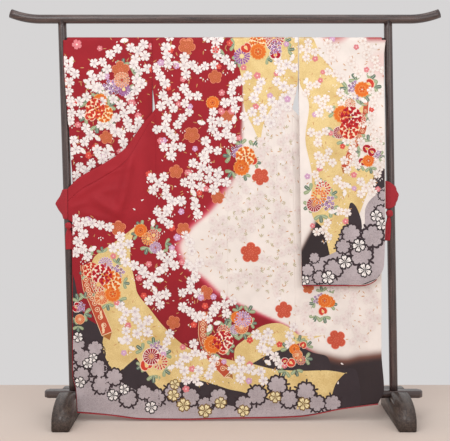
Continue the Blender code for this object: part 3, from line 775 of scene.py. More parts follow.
def petal(length: float, width: float, notch: float = 0.0, start: float = 0.0,
          full: float = 0.7) -> Array:
    """Outline of a petal along +w.

    Args:
        length: distance of its tip from the motif's middle.
        width: half width where it is fullest.
        notch: depth of the nick in its tip.
        start: distance of its root from the middle.
        full: share of its length at which it is fullest.

    Returns:
        Points in order round it.
    """
    run = length - start
    side = [(0.14, 0.0), (0.6, 0.34 * full / 0.7), (0.97, 0.62 * full / 0.7), (0.96, 0.84),
            (0.62, 0.97), (0.28, 1.02 if notch else 1.0)]
    right = [(width * a, start + run * b) for a, b in side]
    tip = [(0.0, length - notch)]
    left = [(-a, b) for a, b in reversed(right)]
    return np.array(right + tip + left)


def ring_of(outline: Array, count: int, tint: str, layer: float, offset: float = 0.0,
            lean: float = 0.0) -> list[Shape]:
    """The same shape repeated evenly round the middle, each a hair above the last."""
    return [Shape(turned(outline, math.tau * (k + offset) / count), tint, layer + lean * k)
            for k in range(count)]


def circle(sides: int) -> Array:
    """Outline of a round of unit radius."""
    angles = np.arange(sides) * math.tau / sides
    return np.stack([np.cos(angles), np.sin(angles)], axis=-1)


def disc(radius: float, tint: str, layer: float, sides: int, at: Pair = (0.0, 0.0)) -> Shape:
    """A round spot."""
    return Shape(circle(sides) * radius + np.array(at), tint, layer)


def lobed(radius: float, lobes: int, depth: float) -> Array:
    """Outline of a rounded blossom: full lobes that meet in narrow nicks."""
    angles = np.arange(lobes * 8) * math.tau / (lobes * 8)
    swell = np.abs(np.cos(angles * lobes / 2.0)) ** 0.55
    reach = radius * (1.0 - depth + depth * swell)
    return np.stack([np.sin(angles), np.cos(angles)], axis=-1) * reach[:, None]


def nicked(radius: float) -> Array:
    """Outline of a blossom of five petals, each with a nick in its tip."""
    angles = np.arange(50) * math.tau / 50
    off = ((angles * 5.0 / math.tau + 0.5) % 1.0 - 0.5) * math.tau / 5.0
    reach = radius * (0.66 + 0.34 * np.cos(2.5 * off) ** 0.5 - 0.13 * np.exp(-(off / 0.1) ** 2))
    return np.stack([np.sin(angles), np.cos(angles)], axis=-1) * reach[:, None]


def cherry(white: str, vein: str, heart: str) -> list[Shape]:
    """Cherry blossom: five nicked petals with a faint vein each and a small heart."""
    shapes = ring_of(petal(1.05, 0.405, 0.17), 5, vein, 2.4)
    shapes += ring_of(petal(1.0, 0.37, 0.19), 5, white, 3.0, lean=0.1)
    shapes += ring_of(petal(0.5, 0.055, start=0.12), 5, vein, 4.2)
    shapes += ring_of(petal(0.34, 0.04, start=0.08), 5, heart, 4.5, offset=0.5)
    shapes.append(disc(0.11, heart, 4.8, 6))
    return shapes


def side_cherry(white: str, vein: str, cup: str) -> list[Shape]:
    """Cherry blossom seen from the side: three petals over a small cup and stalk."""
    shapes = [Shape(turned(petal(1.0, 0.38, 0.15), turn), white, 3.0 + 0.1 * i)
              for i, turn in enumerate((-0.75, 0.75, 0.0))]
    shapes.append(Shape(petal(0.45, 0.05, start=0.1), vein, 4.2))
    shapes.append(Shape(np.array([(-0.16, 0.1), (0.0, -0.3), (0.16, 0.1), (0.0, 0.2)])[::-1], cup, 4.4))
    return shapes


def small_bloom(fill: str, heart: str) -> list[Shape]:
    """Small round-petalled blossom."""
    shapes = ring_of(petal(1.0, 0.42, 0.1), 5, fill, 5.0, lean=0.1)
    shapes.append(disc(0.22, heart, 6.0, 6))
    return shapes


def tied_plum(edge: str, fill: str, dot: str) -> list[Shape]:
    """Plum blossom in tie-dye: a pale edge, a full ground and rows of small dots."""
    shapes = [Shape(lobed(1.0, 5, 0.3), edge, 4.0), Shape(lobed(0.91, 5, 0.3), fill, 4.6)]
    for ring, count in ((0.28, 5), (0.5, 10), (0.7, 15)):
        for k in range(count):
            turn = math.tau * (k + 0.5 * (ring > 0.4)) / count
            shapes.append(disc(0.055, dot, 5.2, 4, (ring * math.sin(turn), ring * math.cos(turn))))
    shapes += ring_of(petal(0.3, 0.03, start=0.05), 5, edge, 5.4, offset=0.5)
    return shapes


def many_rayed(edge: str, fill: str, heart: str, rings: Sequence[tuple[float, int]]) -> list[Shape]:
    """Chrysanthemum: rings of slim petals, each with a pale edge, round a small heart."""
    shapes = []
    for i, (reach, count) in enumerate(rings):
        width = 1.95 * reach / count
        base = reach * 0.4
        layer = 5.0 + 1.1 * i
        shapes += ring_of(petal(reach, width * 1.08, 0.0, base, 0.8), count, edge, layer, 0.5 * (i % 2))
        shapes += ring_of(petal(reach * 0.94, width * 0.72, 0.0, base * 1.12, 0.8), count, fill,
                          layer + 0.5, 0.5 * (i % 2))
    shapes.append(disc(rings[-1][0] * 0.45, heart, 5.2 + 1.1 * len(rings), 8))
    return shapes


def wheel(edge: str, fill: str, heart: str) -> list[Shape]:
    """Round chrysanthemum in dark dye, with fine pale rays to its rim."""
    shapes = [disc(1.0, edge, 5.0, 28), disc(0.91, fill, 5.5, 28)]
    shapes += ring_of(petal(0.97, 0.035, start=0.1), 16, edge, 6.0)
    shapes += ring_of(petal(0.36, 0.05, start=0.0), 8, heart, 6.6, offset=0.5)
    shapes.append(disc(0.09, heart, 7.0, 6))
    return shapes


def peony(edge: str, fill: str, deep: str, heart: str) -> list[Shape]:
    """Peony: a pale paste ground, with islands of petal in three rings, darker towards the heart."""
    shapes = [Shape(lobed(1.04, 9, 0.16), edge, 5.0)]
    for root, reach, count, tint, offset in ((0.6, 0.98, 8, fill, 0.0), (0.29, 0.63, 6, fill, 0.5),
                                             (0.05, 0.32, 4, deep, 0.2)):
        width = 3.05 * (root + reach) / 2.0 / count
        shapes += ring_of(petal(reach, width, 0.05 * reach, root), count, tint, 6.2, offset)
        shapes += ring_of(petal(reach * 0.9, width * 0.3, 0.0, root * 1.15), count, deep, 6.8,
                          offset + 0.12)
    shapes.append(disc(0.1, heart, 7.4, 6))
    return shapes


def camellia(edge: str, fill: str, heart: str) -> list[Shape]:
    """Camellia half open: a full cup of three petals with a pale edge."""
    cup = np.array([(0.0, -0.92), (0.52, -0.72), (0.9, -0.25), (0.95, 0.3), (0.66, 0.72), (0.3, 0.82),
                    (0.0, 0.58), (-0.3, 0.82), (-0.66, 0.72), (-0.95, 0.3), (-0.9, -0.25),
                    (-0.52, -0.72)])
    shapes = [Shape(cup, edge, 5.0), Shape(cup * 0.86, fill, 5.6)]
    shapes.append(Shape(petal(0.45, 0.3, 0.0, -0.45) * 0.9, edge, 6.2))
    shapes.append(Shape(petal(0.38, 0.22, 0.0, -0.4) * 0.9, heart, 6.7))
    return shapes


def fiery(edge: str, fill: str, heart: str) -> list[Shape]:
    """Full orange blossom with frilled petals."""
    shapes = ring_of(petal(1.0, 0.44, 0.14, 0.1), 7, edge, 5.0, lean=0.08)
    shapes += ring_of(petal(0.92, 0.36, 0.13, 0.15), 7, fill, 5.9, lean=0.04)
    shapes += ring_of(petal(0.5, 0.2, 0.06, 0.1), 6, edge, 6.5, offset=0.3)
    shapes += ring_of(petal(0.44, 0.15, 0.05, 0.1), 6, heart, 6.9, offset=0.3)
    return shapes


def wisteria(edge: str, fill: str, deep: str) -> list[Shape]:
    """A loose head of small purple blossoms."""
    shapes = []
    for k in range(13):
        turn, reach = 2.4 * k, 0.24 * math.sqrt(k)
        spot = (reach * math.cos(turn), reach * math.sin(turn))
        for tint, size, layer in ((edge, 0.25, 5.0), (fill if k % 3 else deep, 0.19, 5.5)):
            for part in range(4):
                shapes.append(Shape(turned(petal(1.0, 0.42), part * math.pi / 2 + k, size, spot), tint,
                                    layer + 0.02 * k))
        shapes.append(disc(0.05, "#f3dfa8", 6.1, 4, spot))
    return shapes


def leaves(light: str, dark: str, vein: str) -> list[Shape]:
    """Three pointed leaves, each with a pale midrib."""
    shapes = []
    for i, turn in enumerate((-0.9, 0.1, 1.15)):
        shapes.append(Shape(turned(petal(1.25, 0.3, full=0.5), turn), dark if i == 1 else light,
                            2.6 + 0.1 * i))
        shapes.append(Shape(turned(petal(1.15, 0.03, full=0.4), turn), vein, 3.2))
    return shapes


def knot_blossom(surround: str) -> list[Shape]:
    """Broad tie-dyed blossom's dark surround, with dark cracks that run out between its petals."""
    cracks = ring_of(petal(1.4, 0.11, start=0.5, full=0.35), 5, surround, 3.1, offset=0.5)
    return [Shape(nicked(1.24), surround, 3.2)] + cracks


def ink_plum(fill: str, ink: str) -> list[Shape]:
    """Small plum blossom outlined in ink, with a dotted heart."""
    shapes = [Shape(nicked(1.3), ink, 5.4)]
    shapes += ring_of(petal(1.02, 0.37, 0.16, start=0.2), 5, fill, 6.0, lean=0.03)
    shapes += ring_of(petal(0.62, 0.05, start=0.22), 5, ink, 6.8)
    shapes.append(disc(0.1, fill, 7.0, 6))
    return shapes


class Bloom(Enum):
    """The flowers of the print, with the colours that each is painted in."""

    CHERRY = tuple(cherry("#f4ece8", "#d9c4c4", "#b9a0a6"))
    CHERRY_WARM = tuple(cherry("#f4ebe4", "#e2c6bc", "#c99f86"))
    CHERRY_SIDE = tuple(side_cherry("#f4ece8", "#dccaca", "#b9a060"))
    CHERRY_FAINT = tuple(cherry("#efe2dd", "#e2d3cd", "#dcc0bc"))
    STAR_PINK = tuple(small_bloom("#e2848a", "#f6dcd6"))
    STAR_CORAL = tuple(small_bloom("#dd5247", "#f2a58c"))
    STAR_LILAC = tuple(small_bloom("#d6a6c8", "#f3e6ea"))
    PLUM_TAN = tuple(tied_plum("#e8896c", "#c4633f", "#d98a5a"))
    PLUM_RED = tuple(tied_plum("#df7a62", "#c8523c", "#dd7f5c"))
    MUM_PURPLE = tuple(many_rayed("#cfa3cc", "#8f4f97", "#f1dca0", ((1.0, 16), (0.6, 10))))
    MUM_LILAC = tuple(many_rayed("#efdde6", "#ad80b4", "#c8624a", ((1.0, 16), (0.62, 11), (0.34, 7))))
    MUM_PEACH = tuple(many_rayed("#f6dfc4", "#dc7a4e", "#c4493a", ((1.0, 16), (0.62, 11), (0.34, 7))))
    MUM_ORANGE = tuple(many_rayed("#f4cf96", "#e3702c", "#f2cf84", ((1.0, 13), (0.58, 8))))
    MUM_FIRE = tuple(many_rayed("#f5ddc6", "#cc3a2e", "#efc184", ((1.0, 13), (0.6, 8))))
    MUM_RED = tuple(many_rayed("#f6e4d8", "#b52432", "#efc184",
                               ((1.0, 20), (0.74, 15), (0.48, 10), (0.26, 6))))
    WHEEL = tuple(wheel("#f1ddd2", "#a01f33", "#e2a064"))
    RING_ORANGE = tuple(wheel("#efbd92", "#d56a3c", "#f3d6ac"))
    PEONY_RED = tuple(peony("#f6e2cf", "#bf2229", "#98182a", "#e8ab52"))
    PEONY_FIRE = tuple(peony("#f7dcba", "#cf3a26", "#b32a26", "#e8ab52"))
    PEONY_ORANGE = tuple(peony("#f7e0b4", "#e2742a", "#cf5220", "#f2d488"))
    CAMELLIA_RED = tuple(camellia("#f3e2d6", "#b01a2a", "#e8ab52"))
    CAMELLIA = tuple(camellia("#f3ccb0", "#cf4230", "#efcc84"))
    MAPLE = tuple(fiery("#eda25a", "#e37129", "#d65a22"))
    WISTERIA = tuple(wisteria("#eddde6", "#9a66ae", "#6f3472"))
    LEAF = tuple(leaves("#9aa882", "#63786a", "#d8dcc0"))
    KNOT = tuple(knot_blossom("#3a2e32"))
    INK_PLUM = tuple(ink_plum("#f3ece8", "#2f282b"))
    GOLD_PLUM = tuple(ink_plum("#f0e0b0", "#7d5f34"))
    BUD = (Shape(petal(1.0, 0.46, 0.0, -0.6), "#f4ece8", 2.2),)
    SPRIG = (Shape(petal(1.0, 0.16, 0.0, -1.0, 0.5), "#b0a468", 2.4),)
    PETAL_WHITE = (Shape(petal(1.0, 0.42, 0.12, -0.6), "#f3e8e4", 2.2),)
    PETAL_GOLD = (Shape(petal(1.0, 0.24, 0.0, -1.0, 0.5), "#dca271", 1.8),
                  Shape(petal(0.8, 0.1, 0.0, -0.8, 0.5), "#b98a4c", 2.1))
    PETAL_PINK = (Shape(petal(1.0, 0.36, 0.1, -0.6), "#e9cfc8", 2.2),)


# --- the print -----------------------------------------------------------------------------------
@dataclass
class PrintLayout:
    """Shapes of dye laid out flat on the cloth, in lengths x and w, before the cloth is draped."""

    fineness: float = 0.012
    points: list[Array] = field(default_factory=list)
    tints: list[Array] = field(default_factory=list)
    faces: list[list[int]] = field(default_factory=list)
    count: int = 0

    def spread(self, points: Array, tint: str, layer: float, faces: Iterable[Sequence[int]]) -> None:
        """Adds points of one dye at one layer, and the faces between them."""
        rows = np.column_stack([points, np.full(len(points), layer)])
        self.points.append(rows)
        self.tints.append(np.tile(linear(tint), (len(points), 1)))
        self.faces += [[i + self.count for i in face] for face in faces]
        self.count += len(points)

    def fill(self, outline: Array, tint: str, layer: float) -> None:
        """Fills an outline in rings round its middle, close enough to follow the cloth's folds."""
        x, w = outline[:, 0], outline[:, 1]
        if np.sum(x * np.roll(w, -1) - np.roll(x, -1) * w) < 0.0:
            outline = outline[::-1]
        middle = outline.mean(axis=0)
        reach = float(np.max(np.linalg.norm(outline - middle, axis=1)))
        rings = max(1, math.ceil(reach / self.fineness))
        n = len(outline)
        rows = [middle[None, :]] + [middle + (outline - middle) * (k + 1) / rings for k in range(rings)]
        faces = [[0, 1 + k, 1 + (k + 1) % n] for k in range(n)]
        for r in range(rings - 1):
            a, b = 1 + r * n, 1 + (r + 1) * n
            faces += [[a + k, b + k, b + (k + 1) % n, a + (k + 1) % n] for k in range(n)]
        self.spread(np.concatenate(rows), tint, layer, faces)

    def stamp(self, bloom: Bloom, x: float, w: float, size: float, turn: float = 0.0,
              lift: float = 0.0) -> None:
        """Paints one flower at a place on the cloth."""
        for shape in bloom.value:
            self.fill(turned(shape.outline, turn, size, (x, w)), shape.tint, shape.layer + lift)

    def region(self, outline: Outline, tint: str, layer: float, rounded: bool = True) -> None:
        """Fills a broad region: its outline is rounded through the given points, and its inside is
        meshed closely enough to follow the cloth."""
        edge = closed_curve(outline) if rounded else np.array(outline, float)
        low, high = edge.min(axis=0), edge.max(axis=0)
        grid = np.stack(np.meshgrid(np.arange(low[0], high[0], self.fineness),
                                    np.arange(low[1], high[1], self.fineness)), axis=-1).reshape(-1, 2)
        inside = grid[within(edge, grid)]
        gap = np.min(np.linalg.norm(inside[:, None, :] - edge[None, :, :], axis=2), axis=1)
        inside = inside[gap > 0.004]
        verts = [Vector(p) for p in np.concatenate([edge, inside]).tolist()]
        ring = [(i, (i + 1) % len(edge)) for i in range(len(edge))]
        points, _, faces, *_ = delaunay_2d_cdt(verts, ring, [], 1, 1e-6)
        flat = np.array([tuple(p) for p in points])
        a, b, c = (flat[[face[i] for face in faces]] for i in range(3))
        area = (b[:, 0] - a[:, 0]) * (c[:, 1] - a[:, 1]) - (b[:, 1] - a[:, 1]) * (c[:, 0] - a[:, 0])
        faces = [f if s > 0.0 else f[::-1] for f, s in zip(faces, area)]
        self.spread(flat, tint, layer, faces)

    def take(self, mesh: Mesh) -> None:
        """Adds a flat mesh whose z is its layer, as the blossom scatter gives."""
        rows = np.zeros(len(mesh.vertices) * 3)
        mesh.vertices.foreach_get("co", rows)
        tint = np.zeros(len(mesh.vertices) * 4)
        mesh.attributes["tint"].data.foreach_get("color", tint)
        rows, tint = rows.reshape(-1, 3), tint.reshape(-1, 4)
        self.points.append(rows)
        self.tints.append(tint)
        self.faces += [[i + self.count for i in face.vertices] for face in mesh.polygons]
        self.count += len(rows)

    def draped(self, name: str, surface: Surface, trim: Callable) -> Mesh:
        """The print as a mesh on the hanging cloth.

        Args:
            name: the mesh's name.
            surface: where the cloth hangs.
            trim: keeps places inside the cloth's cut edge.

        Returns:
            The mesh, without the slivers that the trim leaves.
        """
        rows, tints = np.concatenate(self.points), np.concatenate(self.tints)
        x, w = trim(rows[:, 0], rows[:, 1])
        lift = SILK / 2 + PRINT_LIFT + rows[:, 2] * PRINT_STEP
        points = surface(x, w) + outward(surface, x, w) * lift[:, None]
        flat = np.stack([x, w], axis=-1)
        kept = []
        for face in self.faces:
            a, b, c = flat[face[0]], flat[face[1]], flat[face[-1]]
            d = flat[face[2]]
            area = abs((b[0] - a[0]) * (c[1] - a[1]) - (b[1] - a[1]) * (c[0] - a[0]))
            area += abs((b[0] - d[0]) * (c[1] - d[1]) - (b[1] - d[1]) * (c[0] - d[0]))
            if area > 4e-9:
                kept.append(face)
        return tidy(mesh_of(name, points, kept, tints))


def closed_curve(outline: Outline) -> Array:
    """A smooth closed curve through the given points, with a corner where a point is given twice."""
    steps = 6
    spots = np.array(outline, float)
    a, b, c, d = (np.roll(spots, k, axis=0) for k in (1, 0, -1, -2))
    rows = []
    for i in range(len(spots)):
        for k in range(steps):
            t = k / steps
            rows.append(0.5 * (2.0 * b[i] + (c[i] - a[i]) * t + (2.0 * a[i] - 5.0 * b[i] + 4.0 * c[i] - d[i])
                               * t * t + (3.0 * b[i] - a[i] - 3.0 * c[i] + d[i]) * t ** 3))
    curve = np.array(rows)
    return curve[np.linalg.norm(curve - np.roll(curve, 1, axis=0), axis=1) > 1e-5]


@dataclass
class PrintSet:
    """The prints of one area: a layout each for paint, gold leaf, tie-dye and black dye."""

    painted: PrintLayout = field(default_factory=PrintLayout)
    gold: PrintLayout = field(default_factory=lambda: PrintLayout(REGION_MESH))
    knotted: PrintLayout = field(default_factory=lambda: PrintLayout(REGION_MESH))
    black: PrintLayout = field(default_factory=lambda: PrintLayout(REGION_MESH))

    def finishes(self) -> tuple[tuple[PrintLayout, Finish], ...]:
        """Each layout with its finish."""
        return ((self.gold, GOLD), (self.knotted, KNOTTED), (self.black, BLACK), (self.painted, PRINTED))

    def turn_over(self, mirrored: Callable[[Array], Array]) -> None:
        """Moves the prints to the far side of the pole, and turns their faces over."""
        for layout, _ in self.finishes():
            for rows in layout.points:
                rows[:, 1] = mirrored(rows[:, 1])
            layout.faces = [face[::-1] for face in layout.faces]

    def tied_or_inked(self, flowers: Iterable[tuple[Bloom, float, float, float]],
                      draw: random.Random) -> None:
        """Stamps small inked blossoms, and broad ones whose bodies are tie-dyed."""
        for bloom, x, w, size in flowers:
            turn = draw.uniform(0.0, math.tau)
            self.painted.stamp(bloom, x, w, size, turn)
            if bloom is Bloom.KNOT:
                self.knotted.fill(turned(nicked(1.0), turn, size, (x, w)), KNOT_GREY, 4.4)


def within(edge: Array, places: Array) -> Array:
    """Which places lie inside a closed outline."""
    x, w = places[:, 0], places[:, 1]
    odd = np.zeros(len(places), bool)
    for (x0, w0), (x1, w1) in zip(edge, np.roll(edge, -1, axis=0)):
        if w0 != w1:
            crosses = (w0 > w) != (w1 > w)
            odd ^= crosses & (x < (x1 - x0) * (w - w0) / (w1 - w0) + x0)
    return odd


@dataclass
class BlossomScatter:
    """Geometry Nodes that lay one flower at each of many points of the flat cloth."""

    name: str = "lay_blossoms"

    def tree(self) -> Tree:
        """The node tree: points carry their own turn and size, and the flower is an input."""
        made = bpy.data.node_groups.get(self.name)
        if made:
            return made
        made = bpy.data.node_groups.new(self.name, "GeometryNodeTree")
        face = made.interface
        for label, kind in (("Places", "Geometry"), ("Flower", "Object"), ("Flower Size", "Float"),
                            ("Dye", "Material")):
            face.new_socket(label, in_out="INPUT", socket_type=f"NodeSocket{kind}")
        face.new_socket("Print", in_out="OUTPUT", socket_type="NodeSocketGeometry")
        given = add_node(made, "NodeGroupInput").outputs
        flower = add_node(made, "GeometryNodeObjectInfo", {"Object": given["Flower"]})
        turn = add_node(made, "GeometryNodeInputNamedAttribute", {"Name": "turn"}, data_type="FLOAT")
        size = add_node(made, "GeometryNodeInputNamedAttribute", {"Name": "size"}, data_type="FLOAT")
        spin = add_node(made, "ShaderNodeCombineXYZ", {"Z": turn.outputs["Attribute"]})
        wide = add_node(made, "ShaderNodeMath", {0: size.outputs["Attribute"],
                                                 1: given["Flower Size"]}, operation="MULTIPLY")
        scale = add_node(made, "ShaderNodeCombineXYZ", {"X": wide.outputs[0], "Y": wide.outputs[0],
                                                        "Z": 1.0})
        laid = add_node(made, "GeometryNodeInstanceOnPoints",
                        {"Points": given["Places"], "Instance": flower.outputs["Geometry"],
                         "Rotation": spin.outputs[0], "Scale": scale.outputs[0]})
        real = add_node(made, "GeometryNodeRealizeInstances", {"Geometry": laid.outputs["Instances"]})
        dyed = add_node(made, "GeometryNodeSetMaterial", {"Geometry": real.outputs[0],
                                                          "Material": given["Dye"]})
        add_node(made, "NodeGroupOutput", {"Print": dyed.outputs[0]})
        return made

    def lay(self, layout: PrintLayout, bloom: Bloom, places: Sequence[Sequence[float]],
            size: float = 1.0) -> None:
        """Lays a flower at each place and adds the result to a layout.

        Args:
            layout: where the flat print is collected.
            bloom: the flower.
            places: x, w, radius, turn and number of layers above the lowest of each.
            size: scales every radius.
        """
        if not places:
            return
        sample = PrintLayout(fineness=1.0)
        sample.stamp(bloom, 0.0, 0.0, 1.0)
        flower = bpy.data.objects.new("flower", mesh_of("flower", np.concatenate(sample.points),
                                                        sample.faces, np.concatenate(sample.tints)))
        rows = np.array(places, float)
        dots = bpy.data.meshes.new("places")
        dots.from_pydata([(row[0], row[1], row[4]) for row in rows], [], [])
        for name, column in (("size", 2), ("turn", 3)):
            dots.attributes.new(name, "FLOAT", "POINT").data.foreach_set("value", rows[:, column])
        holder = placed("places", dots)
        maker = holder.modifiers.new("lay", "NODES")
        tree = self.tree()
        maker.node_group = tree
        given = {"Flower": flower, "Flower Size": size, "Dye": PRINTED.material()}
        for socket in tree.interface.items_tree:
            if socket.name in given:
                maker[socket.identifier] = given[socket.name]
        graph = bpy.context.evaluated_depsgraph_get()
        laid = bpy.data.meshes.new_from_object(holder.evaluated_get(graph))
        layout.take(laid)
        for item in (holder, flower):
            bpy.data.objects.remove(item, do_unlink=True)
        bpy.data.meshes.remove(laid)


# --- the garment ---------------------------------------------------------------------------------
def spaced(width: float, step: float = WEAVE_STEP) -> Array:
    """Shares of a width no further apart than a step, closer at both ends, where the seams dip."""
    fine = np.array([0.0015, 0.0035]) / width
    share = np.linspace(0.0, 1.0, math.ceil(width / step) + 1)
    return np.unique(np.concatenate([share, fine, 1.0 - fine]))


def spanned(inner: Array, outer: Array | float, shares: Array) -> Array:
    """Rows of places, each row running from its inner edge to its outer one."""
    return inner[:, None] + (outer - inner)[:, None] * shares[None, :]


def sweep(name: str, line: Array, radius: float, sides: int) -> Mesh:
    """Round bar along a line in x, closed at both ends with rounded caps."""
    ahead = np.gradient(line, axis=0)
    ahead /= np.linalg.norm(ahead, axis=1, keepdims=True)
    caps = np.array([0.0, 0.45, 0.8, 0.97])
    soft = min(0.35 * radius, 0.004)
    first = [line[0] + ahead[0] * soft * (1 - math.sqrt(1 - (1 - c) ** 2)) for c in caps]
    last = [line[-1] - ahead[-1] * soft * (1 - math.sqrt(1 - (1 - c) ** 2)) for c in caps[::-1]]
    edge = [radius - soft + soft * math.sqrt(1 - (1 - c) ** 2) for c in caps]
    middle = [p for p in line if soft * 1.2 < np.linalg.norm(p - line[0])
              and soft * 1.2 < np.linalg.norm(p - line[-1])]
    spots = np.array(first + middle + last)
    reach = np.concatenate([edge, np.full(len(middle), radius), edge[::-1]])
    ahead = np.gradient(spots, axis=0)
    ahead /= np.linalg.norm(ahead, axis=1, keepdims=True)
    side = np.cross(ahead, np.array([0.0, 1.0, 0.0]))
    side /= np.linalg.norm(side, axis=1, keepdims=True)
    up = np.cross(side, ahead)
    turns = np.arange(sides) * math.tau / sides
    ring = side[:, None, :] * np.cos(turns)[None, :, None] + up[:, None, :] * np.sin(turns)[None, :, None]
    points = (spots[:, None, :] + ring * reach[:, None, None]).reshape(-1, 3)
    faces = quads(len(spots), sides)
    faces += [list(range(sides))[::-1], [(len(spots) - 1) * sides + k for k in range(sides)]]
    return facing_out(mesh_of(name, points, faces))


def facing_out(mesh: Mesh) -> Mesh:
    """Turns a closed mesh's faces outwards."""
    with opened(mesh) as form:
        bmesh.ops.recalc_face_normals(form, faces=form.faces)
    return mesh


@dataclass(frozen=True)
class Bouquet:
    """A spray of different flowers: where it lies, how it leans, and its flowers from the middle out."""

    x: float
    w: float
    long: float
    wide: float
    lean: float
    blooms: tuple[tuple[Bloom, float], ...]

    def spot(self, reach: float, turn: float) -> Pair:
        """The place at a share of the spray's reach, in a direction from its middle."""
        along, across = reach * math.cos(turn) * self.long, reach * math.sin(turn) * self.wide
        right, up = math.sin(self.lean), math.cos(self.lean)
        return self.x + along * right + across * up, self.w + along * up - across * right

    def clear(self, margin: float) -> tuple[float, float, float]:
        """The round of cloth that other flowers keep clear of: x, w and radius."""
        return self.x, self.w, 0.85 * max(self.long, self.wide) + margin

    def paint(self, layout: PrintLayout, draw: random.Random) -> None:
        """Sets leaves round the rim, then the flowers in a golden-angle spiral, the first on top."""
        count = len(self.blooms)
        leaf_count = 4 + count // 2
        for k in range(leaf_count):
            x, w = self.spot(1.12, math.tau * k / leaf_count + 0.4)
            layout.stamp(Bloom.LEAF, x, w, draw.uniform(0.02, 0.026), math.atan2(self.x - x, w - self.w))
        for k in reversed(range(count)):
            bloom, size = self.blooms[k]
            place = self.spot(math.sqrt((k + 0.35) / count), 2.4 * k + self.lean)
            layout.stamp(bloom, *place, size, draw.uniform(0.0, math.tau), lift=3.0 * (count - k) / count)


def spray(x: float, w: float, long: float, wide: float, lean: float,
          *blooms: tuple[Bloom, float]) -> Bouquet:
    """A bouquet from millimetres, with its lean in radians."""
    (place,) = millimetres((x, w, long, wide))
    return Bouquet(*place, lean, tuple((bloom, size / 1000.0) for bloom, size in blooms))


def growing(bloom: Bloom, *rows: Sequence[float]) -> tuple[tuple, ...]:
    """Flowers of one kind from rows of millimetres: x, w and radius."""
    return tuple((bloom, *row) for row in millimetres(*rows))


@dataclass(frozen=True)
class Ribbon:
    """A painted streamer of rust cloth with ringed dots: its line, and half widths at both ends."""

    line: Outline
    first: float = 0.016
    last: float = 0.024

    def paint(self, layout: PrintLayout) -> None:
        """The band with pale edges, its rings in a lattice, and its turned end in darker cloth."""
        spots = np.array(self.line, float)
        steps = np.linspace(0.0, 1.0, 6 * len(spots))
        t = np.linspace(0.0, 1.0, len(spots))
        x, w = Profile(tuple(zip(t, spots[:, 0])))(steps), Profile(tuple(zip(t, spots[:, 1])))(steps)
        run = np.stack([np.gradient(x), np.gradient(w)], axis=-1)
        run /= np.linalg.norm(run, axis=1, keepdims=True)
        side = np.stack([run[:, 1], -run[:, 0]], axis=-1)
        middle = np.stack([x, w], axis=-1)
        half = mix(self.first, self.last, steps)[:, None]
        for scale, tint, layer in ((1.0, "#efcfa8", 2.2), (0.9, "#bf5136", 2.7)):
            across = np.linspace(-scale, scale, 5)
            grid = middle[:, None] + side[:, None] * half[:, None] * across[None, :, None]
            layout.spread(grid.reshape(-1, 2), tint, layer, quads(len(grid), len(across), closed=False))
        for i in range(1, len(middle) - 1, 2):
            for reach, tint, layer in ((0.62, "#f0cfae", 4.0), (0.47, "#c85a3a", 4.5),
                                       (0.2, "#f0d9b0", 5.0)):
                layout.fill(middle[i] + circle(8) * reach * min(float(half[i, 0]), 0.0175), tint, layer)
        a, b = middle[-1] - side[-1] * half[-1], middle[-1] + side[-1] * half[-1]
        tip = middle[-1] + run[-1] * half[-1] * 1.3
        layout.fill(np.array([a, b, tip]), "#efcfa8", 2.2)
        layout.fill(mix(tip, np.array([a, b, tip]), 0.86) + (middle[-1] - tip) * 0.04, "#a86a32", 2.8)


@dataclass(frozen=True)
class Zone:
    """An area of the cloth that flowers are strewn in: its outline, and places they keep clear of."""

    outline: Outline
    clear: tuple[tuple[float, float, float], ...] = ()

    def strewn(self, gap: float, draw: random.Random) -> list[Pair]:
        """Places at least a gap apart, by dart throwing."""
        edge = np.array(self.outline, float)
        low, high = edge.min(axis=0), edge.max(axis=0)
        darts = np.array([(draw.uniform(low[0], high[0]), draw.uniform(low[1], high[1]))
                          for _ in range(4000)])
        found: list[Pair] = []
        for x, w in darts[within(edge, darts)]:
            near = any((x - a) ** 2 + (w - b) ** 2 < gap * gap for a, b in found)
            blocked = any((x - a) ** 2 + (w - b) ** 2 < r * r for a, b, r in self.clear)
            if not near and not blocked:
                found.append((float(x), float(w)))
        return found


def clear_of(bouquets: Iterable[Bouquet], margin: float) -> tuple[tuple[float, float, float], ...]:
    """The rounds that several bouquets take up."""
    return tuple(bouquet.clear(margin) for bouquet in bouquets)


